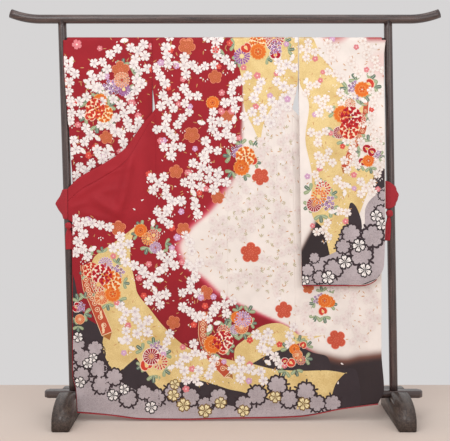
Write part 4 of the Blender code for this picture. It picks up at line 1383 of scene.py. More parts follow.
def cherry_sprays(layout: PrintLayout, zone: Zone, draw: random.Random, gap: float = 0.078,
                  bloom: Bloom = Bloom.CHERRY, size: float = 0.0205) -> None:
    """Strews sprays of cherry blossom: four to six flowers that lap, short leaf strokes at their rim,
    a drip of buds below, and small pink, coral and lilac stars and loose petals between the sprays."""
    laid: dict[Bloom, list] = {kind: [] for kind in Bloom}
    for x, w in zone.strewn(gap, draw):
        start, count = draw.uniform(0.0, math.tau), draw.choice((3, 4, 5, 5))
        for k in range(count):
            turn = start + math.tau * k / max(count - 1, 1) + draw.uniform(-0.25, 0.25)
            reach = 0.0 if k == 0 else size * draw.uniform(1.6, 1.85)
            kind = Bloom.CHERRY_SIDE if k and draw.random() < 0.15 else bloom
            laid[kind].append((x + reach * math.cos(turn), w + reach * math.sin(turn),
                               size * draw.uniform(0.86, 1.06), draw.uniform(0.0, math.tau), 1.5 * k))
        for k in range(5):
            turn = start + math.tau * (k + 0.5) / 5 + draw.uniform(-0.5, 0.5)
            reach = size * draw.uniform(2.3, 2.75)
            laid[Bloom.PETAL_GOLD].append((x + reach * math.cos(turn), w + reach * math.sin(turn),
                                           size * draw.uniform(0.3, 0.42),
                                           turn - math.pi / 2 + draw.uniform(-0.5, 0.5), 0.0))
        star = draw.choice((Bloom.STAR_PINK, Bloom.STAR_PINK, Bloom.STAR_CORAL, Bloom.STAR_LILAC))
        turn = start + draw.uniform(2.0, 4.0)
        if bloom is not Bloom.CHERRY_FAINT:
            laid[star].append((x + 2.7 * size * math.cos(turn), w + 2.7 * size * math.sin(turn),
                               size * draw.uniform(0.55, 0.72), turn, 0.0))
        for k in range(3):
            laid[Bloom.BUD].append((x + size * (0.45 * k - 0.4), w - size * (2.7 + 0.35 * (k % 2)),
                                    size * 0.22, 0.4 * k - 0.4, 0.0))
    for x, w in zone.strewn(gap * 0.6, draw):
        small = Bloom.PETAL_PINK if bloom is Bloom.CHERRY_FAINT else Bloom.PETAL_WHITE
        laid[small].append((x, w, size * draw.uniform(0.22, 0.34), draw.uniform(0.0, math.tau), 0.0))
    scatter = BlossomScatter()
    for kind, places in laid.items():
        scatter.lay(layout, kind, places)


def dyed(base: str, x: Array, *coats: tuple[str, Array]) -> Array:
    """Linear colours of places that are dyed one colour, then others, each by its share of a place."""
    tint = np.broadcast_to(np.array(linear(base)), (*np.shape(x), 4))
    for colour, share in coats:
        tint = tint + (np.array(linear(colour)) - tint) * np.clip(share, 0.0, 1.0)[..., None]
    return tint


def plain_dye(colour: str) -> Callable:
    """A dye that is the same everywhere."""
    return lambda x, w: dyed(colour, x)


RED = "#9e202b"
DEEP_RED = "#8c1f28"
WHITE = "#f0e6df"


@dataclass
class Kimono:
    """The garment: its panels, its collar, its two sleeves and the prints on them."""

    shop: Workshop
    drape: Drape = DRAPE
    arm: float = 1.262      # height of the foot of the arm opening
    sewn: float = 0.958     # share of a sleeve's width at which its two walls are sewn
    roll_r: float = 0.0022
    red_edge: Profile = curve((250, 420), (278, 366), (324, 308), (363, 290), (447, 130), (515, -10),
                              (583, -85), (644, -160), (713, -190), (780, -150), (861, -62), (945, 0),
                              (1047, 61), (1270, 73), (1600, 75))
    brown_edge: Profile = curve((280, 292), (410, 268), (483, 252), (555, 265), (654, 275))
    sleeve_brown: Profile = curve((560, 262), (640, 278), (690, 300), (745, 328), (800, 357),
                                  (850, 378), (960, 400))
    knot_top: Outline = millimetres((-660, 350), (-610, 325), (-560, 280), (-500, 225), (-420, 160),
                                    (-330, 115), (-230, 105), (-130, 80), (-30, 75), (55, 62),
                                    (160, 90), (262, 92), (326, 85), (400, 60), (470, 48), (490, 0),
                                    (200, -30), (-200, -30), (-640, -10), (-680, 100))

    def build(self) -> None:
        """Makes every piece of the garment."""
        for side in Side:
            for part in (self.back, self.front, self.overlap, self.chest, self.collar, self.sleeve,
                         self.wrap, self.knot):
                part(side)
        self.rolls()
        self.body_print()
        for side in Side:
            self.sleeve_print(side)
            self.chest_print(side)

    # dyes
    def body_dye(self, x: Array, w: Array) -> Array:
        """Colours of the body's ground: red to the left, fading to white across a slanting line, and
        to brown-black at the lower right."""
        z = self.drape.dye_height(w)
        soft = mix(0.03, 0.01, ease((z - 1.1) / 0.2))
        white = ease((x - self.red_edge(z)) / soft + 0.5)
        blush = np.exp(-((x - self.red_edge(z) + 0.004) / 0.017) ** 2) * ease((1.02 - z) / 0.08)
        brown = ease((self.brown_edge(x) - z) / 0.085 + 0.5) * ease((x - 0.285) / 0.045)
        return dyed(RED, x, (DEEP_RED, ease((0.75 - z) / 0.45) * 0.8),
                    ("#a92832", ease((-x - 0.3) / 0.05) * ease((z - 0.8) / 0.1) * 0.7),
                    (WHITE, white), ("#dc4864", 0.62 * blush), ("#7b5145", ease(brown * 1.6)),
                    ("#3a3032", ease((brown - 0.45) / 0.5)))

    def sleeve_dye(self, side: Side) -> Callable:
        """The ground of a sleeve: red on the left; white, with red and brown soft areas, on the
        right."""
        def dye(x: Array, w: Array) -> Array:
            """Colours of the places."""
            z = self.drape.dye_height(w)
            if side is Side.LEFT:
                return dyed(RED, x, ("#99222c", ease((1.3 - z) / 0.3) * 0.6),
                            ("#931f29", ease((-0.325 - x) / -0.02) * 0.5))
            patch = ease((0.058 - np.hypot((x - 0.445), (z - 1.6) * 1.1)) / 0.05 + 0.5)
            strip = ease((z - 1.535) / 0.03) * ease((x - 0.555) / 0.03)
            blush = ease((0.085 - np.hypot(x - 0.64, z - 1.45)) / 0.06)
            brown = ease((x - self.sleeve_brown(z)) / 0.034 + 0.5) * ease((0.92 - z) / 0.1)
            brown *= ease((0.52 - x) / 0.04)
            return dyed(WHITE, x, ("#c8555c", patch * 0.9), ("#bb4a50", strip),
                        ("#e9c9c4", blush * 0.8), ("#84594c", brown),
                        ("#352c2e", ease((brown - 0.35) / 0.6)))
        return dye

    # pieces
    def panel(self, name: str, surface: Surface, x: Array, w: Array, dye: Callable,
              finishes: Sequence[Finish], *nodes: str, **cut: object) -> bpy.types.Object:
        """Makes a panel of draped cloth, in place of the named nodes."""
        return self.shop.piece(name, cloth_mesh(name, surface, x, w, dye, **cut), finishes, nodes)

    def back(self, side: Side) -> None:
        """One back panel, from the hem up and over the pole."""
        d = self.drape
        arm_low = d.seams[side][1][0]
        low = float(d.hem(d.side_seam(side, 0.02)))
        skirt = np.linspace(0.0, 1.0, 150)
        levels = np.concatenate([mix(low, arm_low, skirt), np.linspace(arm_low, d.pole, 34)[1:],
                                 np.linspace(d.pole, d.far_start, 13)[1:]])
        seam = d.side_seam(side, np.minimum(levels, d.top))
        x = spanned(seam, d.centre, spaced(0.3))
        rise = np.clip((levels - low) / (arm_low - low), 0.0, 1.0)[:, None]
        w = np.where(levels[:, None] < arm_low, mix(d.hem(x), arm_low, rise), levels[:, None])
        made = self.panel(f"back_panel_{side.word}", d.body, x, w, self.body_dye,
                          (GROUND, LINING, GROUND), f"back_{side.word}", f"shoulder_{side.word}")

    def front(self, side: Side) -> None:
        """One opened lower front, from its side seam to its overlap seam and up to the collar."""
        d, s = self.drape, side.value
        rows = np.linspace(0.0, 1.0, 140)
        outer = self.front_edge(side)
        across = spaced(0.345)
        edge_x = s * d.front_reach
        arm_x = float(d.side_seam(side, self.arm))
        in_top = float(self.collar_low(side, arm_x))
        out_top = float(self.collar_low(side, edge_x))
        in_low = float(d.hem(d.side_seam(side, 0.02)))
        out_low = float(d.hem(d.okumi[side].rows[0][1]))
        z_in, z_out = mix(in_low, in_top, rows), mix(out_low, out_top, rows)
        x_in, x_out = d.side_seam(side, z_in), outer(z_out)
        x = spanned(x_in, x_out, across)
        top = self.collar_low(side, mix(arm_x, edge_x, across))[None, :]
        w = d.hem(x) + (top - d.hem(x)) * rows[:, None]
        made = self.panel(f"front_panel_{side.word}", d.body, x, w, self.body_dye,
                          EDGED, f"front_{side.word}")

    def front_edge(self, side: Side) -> Profile:
        """x of an opened front's outer edge: the overlap's seam, then up along the post."""
        rows, reach = self.drape.okumi[side].rows, side.value * self.drape.front_reach
        return Profile(rows + ((rows[-1][0] + 0.014, reach), (1.0, reach)))

    def collar_low(self, side: Side, x: Array | float) -> Array:
        """z of the seam between an opened front and its collar."""
        return self.drape.free[side](x) - self.drape.collar_wide * self.drape.collar_share(x)

    def overlap(self, side: Side) -> None:
        """One overlap panel at the skirt's outer edge, which runs up to a point."""
        d = self.drape
        rows, across = np.linspace(0.0, 1.0, 105), spaced(0.12, 0.008)
        top = d.okumi[side].rows[-1][0] - 0.004
        edge = d.edges[side]
        seam_low = float(d.hem(d.okumi[side].rows[0][1]))
        z_in, z_out = mix(seam_low, top, rows), mix(float(d.hem(edge(0.05))), top, rows)
        x_in, x_out = self.front_edge(side)(z_in) - side.value * 0.0004, edge(z_out)
        x = spanned(x_in, x_out, across)
        w = d.hem(x) + (top - d.hem(x)) * rows[:, None]
        made = self.panel(f"overlap_panel_{side.word}", d.body, x, w, self.body_dye,
                          EDGED, f"okumi_{side.word}")

    def chest(self, side: Side) -> None:
        """One upper front, which hangs behind the pole and narrows to a point under the arm."""
        d = self.drape
        z = np.linspace(d.pole - 0.0003, 1.18, 52)
        x_in = d.side_seam(side, np.maximum(z, 1.276)) - side.value * 0.0006
        x = spanned(x_in, d.chest_edge(side, z), spaced(0.2))
        w = np.broadcast_to(d.mirrored(z)[:, None], x.shape)
        made = self.panel(f"chest_panel_{side.word}", d.body, x, w, self.body_dye,
                          EDGED, f"chest_{side.word}")

    def collar(self, side: Side) -> None:
        """One collar: its slanting upper stretch behind, and its lower one along the opened front."""
        d, s = self.drape, side.value
        z = np.linspace(d.pole - 0.0003, 1.19, 52)
        across = np.linspace(0.0, 1.0, 10)
        seam = d.chest_edge(side, z) - s * 0.0003
        x = seam[:, None] - s * d.collar_wide * 1.16 * across[None, :]
        w = np.broadcast_to(d.mirrored(z)[:, None], x.shape)
        made = self.panel(f"collar_above_{side.word}", d.body, x, w, plain_dye(RED),
                          (GROUND,) * 3, f"collar_upper_{side.word}", thick=0.0018)
        arm_x, outer_x = float(d.side_seam(side, self.arm)), s * d.front_reach
        x = mix(arm_x, outer_x, spaced(abs(outer_x - arm_x)))
        low = self.collar_low(side, x)
        w = mix(low[None, :], d.free[side](x)[None, :], np.linspace(0.0, 1.0, 9)[:, None])
        made = self.panel(f"collar_below_{side.word}", d.body, np.broadcast_to(x, w.shape), w,
                          self.body_dye, (BAND,) * 3, f"collar_lower_{side.word}")

    def sleeve(self, side: Side) -> None:
        """One long sleeve: a single cloth over the pole, its two walls sewn at the foot and side."""
        d = self.drape
        shares = np.concatenate([[0.0, 0.004, 0.01],
                                 np.linspace(0.0, self.sewn, math.ceil(0.345 / WEAVE_STEP))[1:],
                                 np.linspace(self.sewn, 1.0, 4)[1:]])
        rise = np.linspace(0.0, 1.0, 135)
        levels = mix(d.sleeve_low, d.pole, rise)
        inner, outer = d.sleeve_edges(side, levels, True)
        near_x = spanned(inner, outer, shares)
        bottom = d.sleeve_bottom(side, near_x)
        near_w = mix(bottom, d.pole, rise[:, None])
        turn = np.linspace(d.pole, d.far_start, 13)[1:-1]
        arc_x = np.repeat(near_x[-1:], len(turn), axis=0)
        arc_w = np.repeat(turn[:, None], len(shares), axis=1)
        down = levels[::-1]
        inner, outer = d.sleeve_edges(side, down, False)
        far_x = spanned(inner, outer, shares)
        far_z = mix(d.sleeve_bottom(side, far_x), d.pole, rise[::-1][:, None])
        x = np.concatenate([near_x, arc_x, far_x])
        w = np.concatenate([near_w, arc_w, d.mirrored(far_z)])
        keep = np.ones((len(x) - 1, len(shares) - 1), bool)
        keep[len(near_x) - 1:, -3:] = False
        made = self.panel(f"long_sleeve_{side.word}", lambda a, b: d.sleeve(side, a, b), x, w,
                          self.sleeve_dye(side), EDGED, f"sleeve_{side.word}",
                          keep=keep)

    def wrap(self, side: Side) -> None:
        """The collar's end, wrapped round a post in a fold that stands out; the end that hangs below it is
        made with the knot.
        """
        d, s = self.drape, side.value
        rows = {Side.LEFT: (((0, .95), (.2, .948), (.4, .944), (.52, .94), (.64, .942), (1, .944)),
                            ((0, .824), (.2, .826), (.4, .829), (.52, .832), (.64, .83), (1, .826)),
                            ((0, 0), (.2, 0), (.4, .018), (.52, .037), (.64, .018), (1, 0)), -0.6415),
                Side.RIGHT: (((0, .984), (.2, .98), (.4, .966), (.52, .958), (.64, .962), (1, .97)),
                             ((0, .87), (.2, .868), (.4, .876), (.52, .886), (.64, .88), (1, .872)),
                             ((0, 0), (.2, 0), (.4, .008), (.52, .016), (.64, .008), (1, 0)), 0.6445)}
        top, low, bulge, start = rows[side]
        top, low, bulge = Profile(top), Profile(low), Profile(bulge)

        def surface(share: Array, across: Array) -> Array:
            """Points of the wrap, round the post from its share 0 in front to 1 behind."""
            z = mix(low(share), top(share), across)
            radius = d.post_r + 0.0026
            centre = d.post(side, z)
            front = np.maximum(s * (centre - start), 0.002)
            arc = math.pi * radius
            way = share * (front + arc + 0.014)
            turn = np.clip((way - front) / radius, 0.0, math.pi)
            crest = 1.0 - np.abs(2.0 * across - 1.0)
            pleat = 0.001 * np.sin(across * 19.0 + share * 5.0) * np.sin(np.pi * np.clip(share, 0, 1))
            out = np.sin(turn)
            x = centre + s * (radius * out + bulge(share) * crest * out * out + pleat * out)
            x = np.where(way <= front, start + s * way, x)
            x = np.where(way >= front + arc, centre - s * (way - front - arc), x)
            y = -radius * np.cos(turn) - np.where(way <= front, np.abs(pleat), 0.0)
            return np.stack([x, y, z], axis=-1)
        share, across = np.meshgrid(np.linspace(0.0, 1.0, 49), np.linspace(0.0, 1.0, 22))
        made = self.panel(f"collar_turn_{side.word}", surface, share, across, plain_dye(RED),
                          (RED_SILK,) * 3, f"collar_wrap_{side.word}", level=False)

    def knot(self, side: Side) -> None:
        """The knot under a wrap, and the collar's end that hangs from it."""
        left = side is Side.LEFT
        knot = Vector((-0.6385, -0.029, 0.8) if left else (0.67, -0.029, 0.85))
        radius = 0.014 if left else 0.015
        tilt, turn = np.meshgrid(np.linspace(0.12, math.pi - 0.12, 22), np.arange(36) * math.tau / 36,
                                 indexing="ij")
        size = radius * (0.97 + 0.045 * np.sin(3.0 * turn + 4.0 * tilt) - 0.05 * np.cos(2.0 * tilt) ** 8)
        points = np.stack([knot.x + size * 1.04 * np.sin(tilt) * np.cos(turn),
                           knot.y + size * 0.58 * np.sin(tilt) * np.sin(turn),
                           knot.z + size * np.cos(tilt)], axis=-1)
        rows, n = size.shape
        faces = [[a, d, c, b] for a, b, c, d in quads(rows, n)]
        faces += [list(range(n)), [(rows - 1) * n + k for k in range(n)][::-1]]
        mesh = facing_out(mesh_of(f"collar_tie_{side.word}", points.reshape(-1, 3), faces))
        tie = self.shop.piece(mesh.name, mesh, (RED_SILK,), (f"collar_knot_{side.word}",))
        end = (-0.6385, 0.702, 0.027) if left else (0.663, 0.738, 0.024)

        def surface(x: Array, z: Array) -> Array:
            """Points of the tail, gathered at the knot and open below."""
            drop = (knot.z - z) / (knot.z - end[1])
            wide = mix(0.35, 1.0, ease(drop * 2.2))
            mid = mix(knot.x, end[0], drop)
            y = -0.0203 - 0.0022 * np.cos(x * 260.0 + 5.0 * drop) * (1.15 - drop) - 0.002 * (1 - drop)
            return np.stack([mid + x * wide, y, z], axis=-1)
        low, high = end[1], knot.z - radius * 0.6
        x, w = np.meshgrid(np.linspace(-end[2] / 2, end[2] / 2, 14), np.linspace(low, high, 28))
        made = self.panel(f"collar_tail_{side.word}", surface, x, w, plain_dye(RED),
                          (RED_SILK,) * 3, f"collar_end_{side.word}", level=False)

    def rolls(self) -> None:
        """The lining's red edge, rolled out along the hem and under each sleeve."""
        d = self.drape
        x = np.linspace(float(d.edges[Side.LEFT](0.04)), float(d.edges[Side.RIGHT](0.074)), 320)
        line = np.stack([x, d.skirt_depth(x, d.hem(x)), d.hem(x) - 0.0026], axis=-1)
        mesh = sweep("hem_edge", line, self.roll_r, 10)
        self.shop.piece(mesh.name, mesh, (RED_SILK,), ("hem_roll",))
        for side in Side:
            inner, outer = d.sleeve_edges(side, np.full(1, d.sleeve_low), True)
            x = mix(inner, outer, np.linspace(0.0, 0.92, 90))
            z = d.sleeve_bottom(side, x)
            y = (d.sleeve_depth(side, x, z, True) + d.sleeve_depth(side, x, z, False)) / 2
            line = np.stack([x, y, z - 0.0028], axis=-1)
            mesh = sweep(f"sleeve_edge_{side.word}", line, self.roll_r, 10)
            self.shop.piece(mesh.name, mesh, (RED_SILK,), (f"sleeve_roll_{side.word}",))

    # prints
    def trim_body(self, x: Array, w: Array) -> tuple[Array, Array]:
        """Keeps places on the near body inside its hem, its outer edges, its arms and its collar."""
        d = self.drape
        w = np.minimum(w, d.far_start - 0.004)
        z = np.minimum(w, d.pole)
        spread = z < self.arm
        left = np.where(spread, d.edges[Side.LEFT](z) + 0.003, d.side_seam(Side.LEFT, z) + 0.002)
        right = np.where(spread, d.edges[Side.RIGHT](z) - 0.003, d.side_seam(Side.RIGHT, z) - 0.002)
        x = np.clip(x, left, right)
        for side in Side:
            beyond = (side.value * (x - d.side_seam(side, self.arm)) > 0.0) & spread
            w = np.where(beyond, np.minimum(w, self.collar_low(side, x) - 0.002), w)
        return x, np.maximum(w, d.hem(x) + 0.002)

    def trim_sleeve(self, side: Side, near: bool) -> Callable:
        """Keeps places on one wall of a sleeve inside its edges, down to its rounded foot."""
        d = self.drape

        def trim(x: Array, w: Array) -> tuple[Array, Array]:
            """The places, moved inside the wall."""
            z = np.clip(w if near else d.mirrored(w), d.sleeve_low, d.pole)
            inner, outer = d.sleeve_edges(side, z, near)
            outer = outer if near else mix(inner, outer, self.sewn)
            low, high = (outer, inner) if side is Side.LEFT else (inner, outer)
            over = near & (w > d.pole)
            low = np.where(over & (side is Side.LEFT), mix(inner, outer, 0.95), low)
            high = np.where(over & (side is Side.RIGHT), mix(inner, outer, 0.95), high)
            x = np.clip(x, low + 0.002, high - 0.002)
            foot = d.sleeve_bottom(side, x) + 0.0015
            if near:
                return x, np.clip(w, foot, d.pole + 0.035)
            return x, np.clip(w, d.far_start + 0.002, d.mirrored(foot))
        return trim

    def publish(self, name: str, prints: PrintSet, surface: Surface, trim: Callable) -> None:
        """Drapes each filled layout and makes it a piece of its own finish."""
        for layout, finish in prints.finishes():
            if layout.count:
                mesh = layout.draped(f"{name}_{finish.name.split('_')[0]}", surface, trim)
                self.shop.piece(mesh.name, mesh, (finish,))

    def body_print(self) -> None:
        """Everything painted, leafed and tied on the near side of the body."""
        draw = random.Random(SEED)
        prints, blossoms = PrintSet(), PrintSet()
        painted = prints.painted
        for outline in BODY_GOLD:
            prints.gold.region(outline, LEAF_YELLOW, 1.0)
        for outline in BODY_BLACK:
            prints.black.region(outline, DYE_BLACK, 0.0)
        prints.knotted.region(self.knot_top, KNOT_GREY, 2.0)
        for bouquet in BODY_BOUQUETS:
            bouquet.paint(painted, draw)
        for line in BODY_RIBBONS:
            Ribbon(line).paint(painted)
        for x, w, turn in LOOSE_PETALS:
            painted.stamp(Bloom.PETAL_WHITE, x, w, 0.0075, turn)
        for bloom, x, w, size in BODY_FLOWERS:
            painted.stamp(bloom, x, w, size, draw.uniform(0.0, math.tau))
        prints.tied_or_inked(HEM_FLOWERS, draw)
        clear = clear_of(BODY_BOUQUETS, 0.03)
        clear += tuple((x, w, size + 0.03) for _, x, w, size in BODY_FLOWERS)
        for outline in BODY_CHERRY_ZONES:
            cherry_sprays(blossoms.painted, Zone(outline, clear), draw)
        faint, outer = (Zone(outline, clear) for outline in FAINT_CHERRY_ZONES)
        cherry_sprays(painted, faint, draw, 0.07, Bloom.CHERRY_FAINT, 0.017)
        sprigs(painted, faint, draw)
        cherry_sprays(painted, outer, draw, 0.075, Bloom.CHERRY_FAINT, 0.017)
        self.publish("body_print", prints, self.drape.body, self.trim_body)
        self.publish("cherry_print", blossoms, self.drape.body, self.trim_body)

    def sleeve_print(self, side: Side) -> None:
        """Everything painted, leafed and tied on both walls of one sleeve."""
        d = self.drape
        paint = self.left_sleeve if side is Side.LEFT else self.right_sleeve
        for near in (True, False):
            prints = PrintSet()
            paint(prints, random.Random(SEED + 3 * side.value + near))
            if not near:
                prints.turn_over(d.mirrored)
            name = f"sleeve_print_{side.word}_{'near' if near else 'far'}"
            self.publish(name, prints, lambda a, b: d.sleeve(side, a, b), self.trim_sleeve(side, near))

    def left_sleeve(self, prints: PrintSet, draw: random.Random) -> None:
        """White cherry sprays on red round one bouquet, its upper outer corner left plain."""
        for bouquet in LEFT_BOUQUETS:
            bouquet.paint(prints.painted, draw)
        for bloom, x, w, size, turn in ((Bloom.STAR_PINK, -0.6, 1.535, 0.02, 0.4),
                                        (Bloom.PLUM_TAN, -0.485, 1.16, 0.028, 0.2),
                                        (Bloom.PLUM_TAN, -0.635, 1.38, 0.021, 0.9)):
            prints.painted.stamp(bloom, x, w, size, turn)
        clear = clear_of(LEFT_BOUQUETS, 0.02) + ((-0.485, 1.16, 0.05), (-0.6, 1.535, 0.04))
        cherry_sprays(prints.painted, Zone(LEFT_CHERRY_ZONE, clear), draw, 0.074)

    def right_sleeve(self, prints: PrintSet, draw: random.Random) -> None:
        """A gold band down white cloth between bouquets, and a tie-dyed foot with inked flowers."""
        prints.gold.region(SLEEVE_GOLD, LEAF_YELLOW, 1.0)
        prints.knotted.region(SLEEVE_KNOTS, KNOT_GREY, 2.0)
        for outline in SLEEVE_BLACK:
            prints.black.region(outline, DYE_BLACK, 1.5)
        for bouquet in RIGHT_BOUQUETS:
            bouquet.paint(prints.painted, draw)
        Ribbon(SLEEVE_RIBBON, 0.01, 0.019).paint(prints.painted)
        prints.tied_or_inked(SLEEVE_FLOWERS, draw)
        zone = Zone(RIGHT_CHERRY_ZONE, clear_of(RIGHT_BOUQUETS, 0.02))
        cherry_sprays(prints.painted, zone, draw, 0.085, Bloom.CHERRY_WARM, 0.018)

    def chest_print(self, side: Side) -> None:
        """Cherry sprays and a bouquet on one upper front, behind the pole."""
        d, s = self.drape, side.value
        draw = random.Random(SEED + 20 + s)
        prints = PrintSet()
        if side is Side.RIGHT:
            prints.gold.region(CHEST_GOLD, LEAF_YELLOW, 0.0, rounded=False)
            CHEST_BOUQUET.paint(prints.painted, draw)
        zone = Zone(((s * 0.12, 1.53), (s * 0.28, 1.53), (s * 0.28, 1.3), (s * 0.22, 1.34)))
        cherry_sprays(prints.painted, zone, draw)
        prints.turn_over(d.mirrored)

        def trim(x: Array, w: Array) -> tuple[Array, Array]:
            """The places, moved inside the upper front."""
            z = np.clip(d.mirrored(w), 1.19, d.pole - 0.001)
            outer = d.side_seam(side, np.maximum(z, 1.276)) - s * 0.003
            inner = d.chest_edge(side, z) + s * 0.003
            return np.clip(x, np.minimum(outer, inner), np.maximum(outer, inner)), d.mirrored(z)
        self.publish(f"chest_print_{side.word}", prints, d.body, trim)


def sprigs(layout: PrintLayout, zone: Zone, draw: random.Random) -> None:
    """Strews small gold-olive sprigs: strokes that fan out from one root."""
    strokes = []
    for x, w in zone.strewn(0.03, draw):
        heading = draw.uniform(0.0, math.tau)
        for k in range(3):
            turn = heading + (k - 1) * 0.55
            strokes.append((x - 0.009 * math.sin(turn), w + 0.009 * math.cos(turn),
                            draw.uniform(0.005, 0.008), turn, 0.0))
    BlossomScatter().lay(layout, Bloom.SPRIG, strokes)


F = Bloom
BODY_GOLD = (
    millimetres((45, 1600), (330, 1600), (330, 1400), (298, 1372), (255, 1342), (202, 1296), (160, 1222),
                (143, 1136), (143, 1136), (112, 1205), (80, 1275), (72, 1377), (56, 1459)),
    millimetres((-366, 796), (-366, 796), (-383, 728), (-386, 660), (-368, 575), (-355, 522), (-309, 463),
                (-250, 388), (-166, 311), (-81, 278), (20, 252), (110, 236), (204, 213), (315, 207),
                (412, 210), (490, 198), (490, 198), (451, 152), (412, 60), (300, 50), (200, 50),
                (94, 113), (16, 132), (-75, 161), (-130, 172), (-185, 160), (-235, 122), (-275, 142),
                (-318, 200), (-362, 262), (-362, 262), (-405, 225), (-440, 195), (-470, 225), (-500, 300),
                (-492, 380), (-495, 450), (-525, 520), (-548, 600), (-540, 660), (-508, 694),
                (-452, 731)),
    millimetres((40, 295), (81, 337), (146, 388), (217, 402), (269, 380), (308, 352), (398, 352),
                (398, 352), (315, 324), (243, 298), (185, 278), (112, 238), (112, 238), (50, 220)))
BODY_BLACK = (
    millimetres((-650, 620), (-618, 590), (-598, 500), (-570, 430), (-505, 380), (-490, 300), (-450, 230),
                (-385, 258), (-330, 235), (-280, 170), (-190, 190), (-60, 180), (50, 150), (140, 130),
                (140, 40), (-100, 40), (-300, 50), (-500, 80), (-660, 150)),
    millimetres((105, 234), (105, 234), (185, 284), (243, 304), (300, 306), (360, 282), (420, 262),
                (420, 190), (300, 190), (200, 200)),
    millimetres((440, 200), (480, 215), (540, 200), (540, 30), (380, 30), (400, 120)))
BODY_CHERRY_ZONES = (
    millimetres((-265, 1570), (55, 1570), (95, 1250), (55, 1060), (-15, 940), (-100, 840), (-145, 700),
                (-115, 600), (-55, 530), (55, 450), (0, 390), (-100, 430), (-200, 370), (-300, 520),
                (-400, 640), (-590, 640), (-600, 800), (-450, 810), (-330, 800), (-275, 900),
                (-265, 1250)),
    millimetres((90, 1590), (285, 1590), (285, 1360), (150, 1200), (95, 1300)),
    millimetres((-360, 480), (-250, 370), (-60, 240), (150, 230), (260, 330), (100, 150), (-200, 180),
                (-380, 270), (-440, 420)),
    millimetres((110, 330), (240, 390), (330, 320), (360, 230), (230, 230), (220, 300)))
FAINT_CHERRY_ZONES = (
    millimetres((100, 1140), (240, 1280), (270, 1100), (280, 600), (220, 500), (20, 560), (-60, 660),
                (-40, 800), (50, 930), (100, 1030)),
    millimetres((320, 950), (330, 360), (600, 340), (620, 500), (500, 620), (400, 950)))
BODY_RIBBONS = (millimetres((-575, 640), (-562, 550), (-530, 480), (-482, 360)),
                millimetres((-86, 450), (-91, 369), (-62, 278), (12, 196)))
LEFT_CHERRY_ZONE = millimetres((-345, 1540), (-345, 600), (-600, 590), (-625, 700), (-630, 1200),
                               (-640, 1460), (-560, 1440), (-470, 1480), (-440, 1550))
RIGHT_CHERRY_ZONE = millimetres((325, 1540), (630, 1530), (630, 1000), (560, 900), (480, 800), (400, 700),
                                (370, 850), (330, 1000))
SLEEVE_GOLD = millimetres((300, 1600), (345, 1585), (397, 1480), (491, 1366), (480, 1221), (569, 1294),
                          (564, 1180), (523, 1055), (606, 1014), (575, 931), (523, 806), (471, 785),
                          (461, 702), (430, 671), (399, 785), (352, 848), (351, 1014), (325, 1149),
                          (340, 1294), (304, 1377), (290, 1480))
SLEEVE_KNOTS = millimetres((660, 945), (601, 918), (569, 872), (565, 804), (543, 782), (489, 791),
                           (462, 754), (480, 718), (408, 677), (362, 668), (325, 632), (305, 580),
                           (300, 540), (660, 540), (680, 700))
SLEEVE_BLACK = (
    millimetres((602, 1000), (625, 1030), (660, 1020), (660, 930), (620, 925), (598, 955)),
    millimetres((505, 890), (530, 880), (552, 820), (550, 770), (520, 765), (500, 810)))
SLEEVE_RIBBON = millimetres((572, 1310), (560, 1200), (520, 1120), (486, 1035))
CHEST_GOLD = millimetres((90, 1580), (310, 1580), (310, 1380), (240, 1420), (180, 1500))
LOOSE_PETALS = ((-0.315, 0.975, 0.6), (-0.335, 0.905, 2.0), (-0.372, 0.868, 4.1), (0.48, 0.235, 1.1),
                (0.462, 0.16, 3.0))
BODY_FLOWERS = (
    growing(F.MUM_RED, (198, 1562, 45))
    + growing(F.PLUM_TAN, (-155, 1530, 36), (-40, 1405, 29))
    + growing(F.MAPLE, (-50, 1300, 27))
    + growing(F.PLUM_TAN, (10, 1240, 29), (-135, 1170, 33), (-200, 1020, 29))
    + growing(F.PLUM_RED, (145, 1000, 36), (105, 690, 43))
    + growing(F.PLUM_TAN, (-30, 915, 28), (-435, 790, 32), (-170, 785, 29), (-80, 525, 32),
              (-210, 405, 29))
    + growing(F.PLUM_RED, (455, 335, 40), (240, 455, 36))
    + growing(F.PLUM_TAN, (340, 545, 24)))
HEM_FLOWERS = (
    growing(F.KNOT, (-606, 318, 34), (-582, 262, 36), (-530, 300, 30), (-516, 216, 36), (-505, 150, 36),
            (-452, 182, 34), (-585, 190, 33), (-395, 95, 36), (-330, 120, 30), (-282, 98, 36),
            (-211, 120, 36), (-140, 100, 36), (-82, 70, 30), (-26, 98, 38), (76, 72, 34), (130, 108, 38),
            (214, 148, 38), (262, 92, 36), (330, 122, 38), (376, 74, 33), (440, 74, 34))
    + growing(F.INK_PLUM, (-600, 345, 19), (-560, 238, 19), (-592, 160, 20), (-458, 108, 21),
              (-412, 132, 19), (-302, 58, 22), (-538, 262, 16))
    + growing(F.GOLD_PLUM, (-211, 108, 21), (-169, 68, 24), (-82, 44, 24), (-18, 76, 21), (76, 44, 21),
              (205, 100, 21), (321, 72, 23), (-205, 152, 18)))
SLEEVE_FLOWERS = (
    growing(F.KNOT, (510, 770, 37), (598, 758, 44), (632, 856, 28), (478, 718, 29), (552, 682, 44),
            (440, 628, 37), (335, 622, 25), (382, 592, 26), (362, 672, 21), (640, 925, 20))
    + growing(F.INK_PLUM, (612, 842, 21), (634, 806, 20), (542, 722, 24), (486, 655, 25), (418, 592, 24),
              (566, 622, 25), (322, 580, 18)))
